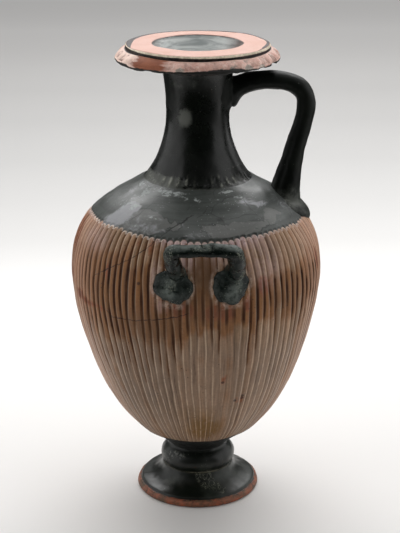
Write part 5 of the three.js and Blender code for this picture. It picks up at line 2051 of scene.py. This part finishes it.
@dataclass
class Studio:
    """The plain floor, the lamps, the world and the camera."""

    floor_half: float = 9.0
    camera_place: tuple[float, float, float] = (-0.0436, -1.3136, 0.6782)
    camera_tilt: float = 71.01
    camera_turn: float = -1.9
    lens: float = 98.59
    sensor: float = 36.0
    shift: float = 0.0043
    front_depths: tuple[float, float] = (-0.7, -0.28)
    behind_depths: tuple[float, float] = (-0.25, 0.25)
    away_distances: tuple[float, float] = (0.45, 0.8)
    tinted_depths: tuple[float, float] = (0.3, 0.9)
    # How much the paper is painted lighter towards +x, as painted side light.
    painted_side_light: float = 0.1
    softboxes: tuple[Softbox, ...] = (
        Softbox("left_softbox", (-1.8, 0.0, 0.9), (0, 0, 0.2), (3.0, 2.4), 19.0),
        Softbox("right_softbox", (1.8, 0.1, 0.9), (0, 0, 0.2), (3.0, 2.4), 19.0),
        Softbox("back_softbox", (0.05, 1.3, 1.6), (0, 0, 0.15), (2.2, 1.2), 46.0),
        Softbox("top_softbox", (0.1, 0.0, 2.0), (0, 0, 0.2), (1.0, 1.0), 5.0),
    )
    glow_depths: tuple[float, ...] = (
        -0.25, -0.1, 0.02, 0.09, 0.19, 0.44, 0.6, 0.78, 0.99, 1.25, 1.56, 1.85, 2.19, 2.62, 3.3)
    glow_levels: tuple[float, ...] = (0, 0, 0, 0, 0, 0, 0, 0, 0, 0, 0, 0, 0.008, 0.121, 0.184)
    # Painted light on the paper at each depth: the floor's brightness along its depth is painted into its
    # colour.
    painted_light_levels: tuple[float, ...] = (
        1, 1, 0.97, 0.98, 0.985, 0.99, 0.9, 0.744, 0.661, 0.605, 0.616, 0.709, 0.915, 1, 1)
    paper_colour: Colour = (0.76, 0.752, 0.742)
    unlit_colour: Colour = (0.02, 0.02, 0.02)
    fill_colour: tuple[float, ...] = (1.0, 0.985, 0.97, 1)
    fill_strength: float = 0.26
    seen_colour: tuple[float, ...] = (0.42, 0.41, 0.40, 1)
    mirrored_places: tuple[float, ...] = (0.015, 0.4, 0.68, 0.9)
    mirrored_levels: tuple[float, ...] = (0.03, 0.26, 0.26, 0.05)

    def build(self) -> None:
        """Builds all of the studio."""
        self.lay_floor()
        self.light_world()
        for softbox in self.softboxes:
            softbox.build()
        self.set_camera()
        bpy.context.scene.view_settings.view_transform = "Standard"

    def lay_floor(self) -> None:
        """Lays a flat square floor."""
        half = self.floor_half
        mesh = bpy.data.meshes.new("studio_floor")
        corners = [(-half, -half, 0), (half, -half, 0), (half, half, 0), (-half, half, 0)]
        mesh.from_pydata(corners, [], [(0, 1, 2, 3)])
        mesh.materials.append(self.floor_finish())
        floor = bpy.data.objects.new("studio_floor", mesh)
        bpy.context.scene.collection.objects.link(floor)

    def floor_finish(self) -> bpy.types.Material:
        """Gives pale paper that keeps the shadow, with painted light along its depth and painted side light
        towards +x, and glows a little for what looks at it.
        """
        paint = Painter("studio_floor_finish")
        parts = paint.node("ShaderNodeSeparateXYZ")
        paint.feed(parts.inputs[0], paint.place)
        depth = parts.outputs["Y"]
        low, high = self.glow_depths[0], self.glow_depths[-1]
        share = paint.math("DIVIDE", paint.math("SUBTRACT", depth, low), high - low)
        glow = self.ramp(paint, share, self.glow_levels)
        # Painted light: the paper's brightness at each depth.
        shading = self.ramp(paint, share, self.painted_light_levels)
        rays = paint.node("ShaderNodeLightPath")
        mirrored = rays.outputs["Is Glossy Ray"]
        seen = paint.math("MAXIMUM", rays.outputs["Is Camera Ray"], rays.outputs["Is Transmission Ray"])
        shown = paint.math("MAXIMUM", seen, mirrored)
        # Painted side light: the paper is lighter towards +x, from a middle depth back.
        in_front = paint.band(depth, *self.front_depths, 1.0, 0.0)
        tinted = paint.band(depth, *self.tinted_depths)
        aside = paint.add(1.0, paint.times(parts.outputs["X"], tinted, self.painted_side_light))
        paper = paint.shade(self.paper_colour, paint.times(shading, aside))
        away = paint.node("ShaderNodeVectorMath", operation="LENGTH")
        paint.feed(away.inputs[0], paint.place)
        far_behind = paint.times(paint.band(away.outputs["Value"], *self.away_distances),
                                 paint.band(depth, *self.behind_depths))
        unlit = paint.times(mirrored, paint.math("MAXIMUM", in_front, far_behind))
        paper = paint.mix(unlit, paper, self.unlit_colour)
        shader = paint.node("ShaderNodeBsdfDiffuse")
        paint.feed(shader.inputs["Color"], paper)
        light = paint.node("ShaderNodeEmission")
        paint.feed(light.inputs["Color"], glow)
        paint.feed(light.inputs["Strength"], shown)
        both = paint.node("ShaderNodeAddShader")
        paint.feed(both.inputs[0], shader.outputs[0])
        paint.feed(both.inputs[1], light.outputs[0])
        paint.output(both.outputs[0])
        return paint.material

    def ramp(self, paint: Painter, share: Socket, levels: Sequence[float]) -> Socket:
        """Gives a grey that runs through one level at each of the floor's depths."""
        low, high = self.glow_depths[0], self.glow_depths[-1]
        made = paint.node("ShaderNodeValToRGB")
        paint.feed(made.inputs[0], share)
        stops = made.color_ramp.elements
        while len(stops) < len(levels):
            stops.new(0.5)
        for stop, place, level in zip(stops, self.glow_depths, levels):
            stop.position = (place - low) / (high - low)
            stop.color = (level, level, level, 1.0)
        return made.outputs["Color"]

    def light_world(self) -> None:
        """Fills the room with soft light, darker where the glaze mirrors the front of it."""
        world = bpy.data.worlds.new("studio_room")
        world.use_nodes = True
        bpy.context.scene.world = world
        tree = world.node_tree
        tree.nodes.clear()

        def added(kind: str, *sources: Socket) -> bpy.types.Node:
            """Adds a node and links sources to its first inputs."""
            made = tree.nodes.new(kind)
            for place, source in zip(made.inputs, sources):
                tree.links.new(source, place)
            return made

        def backdrop(colour: tuple[float, ...], strength: float) -> bpy.types.Node:
            """Adds a background of one colour and strength."""
            made = added("ShaderNodeBackground")
            made.inputs["Color"].default_value = colour
            made.inputs["Strength"].default_value = strength
            return made

        parts = added("ShaderNodeSeparateXYZ", added("ShaderNodeTexCoord").outputs["Generated"])
        behind = added("ShaderNodeMapRange", parts.outputs["Y"])
        behind.inputs["From Min"].default_value = -1.0
        ramp = added("ShaderNodeValToRGB", behind.outputs[0])
        stops = ramp.color_ramp.elements
        while len(stops) < len(self.mirrored_places):
            stops.new(0.5)
        for stop, place, level in zip(stops, self.mirrored_places, self.mirrored_levels):
            stop.position = place
            stop.color = (level, level, level, 1)
        mirrored = added("ShaderNodeBackground")
        tree.links.new(ramp.outputs["Color"], mirrored.inputs["Strength"])
        rays = added("ShaderNodeLightPath")
        fill = backdrop(self.fill_colour, self.fill_strength)
        seen = backdrop(self.seen_colour, 1.0)
        glossy, direct = rays.outputs["Is Glossy Ray"], rays.outputs["Is Camera Ray"]
        lit = added("ShaderNodeMixShader", glossy, fill.outputs[0], mirrored.outputs[0])
        shown = added("ShaderNodeMixShader", direct, lit.outputs[0], seen.outputs[0])
        added("ShaderNodeOutputWorld", shown.outputs[0])

    def set_camera(self) -> None:
        """Sets the camera where the photograph's outline puts it."""
        lens = bpy.data.cameras.new("camera")
        lens.sensor_width = self.sensor
        lens.lens = self.lens
        lens.shift_x = self.shift
        holder = bpy.data.objects.new("camera", lens)
        holder.location = self.camera_place
        holder.rotation_euler = (math.radians(self.camera_tilt), 0, math.radians(self.camera_turn))
        bpy.context.scene.collection.objects.link(holder)
        bpy.context.scene.camera = holder


def main() -> None:
    """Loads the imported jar, builds and dresses each piece, and sets up the studio."""
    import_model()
    studio = Studio()
    studio.build()
    levels = Levels.from_frame()
    body = RibbedBody(levels)
    neck = Neck(levels)
    Foot(levels).build()
    body.build()
    neck.build()
    Mouth(levels).build()
    PouringHandle(levels, body.wall, neck.wall).build()
    LiftingHandle("front_grip_clay", "front", 0.0, levels, body.wall, 71).build()
    LiftingHandle("rear_grip_clay", "rear", 180.0, levels, body.wall, 91).build()


if __name__ == "__main__":
    main()
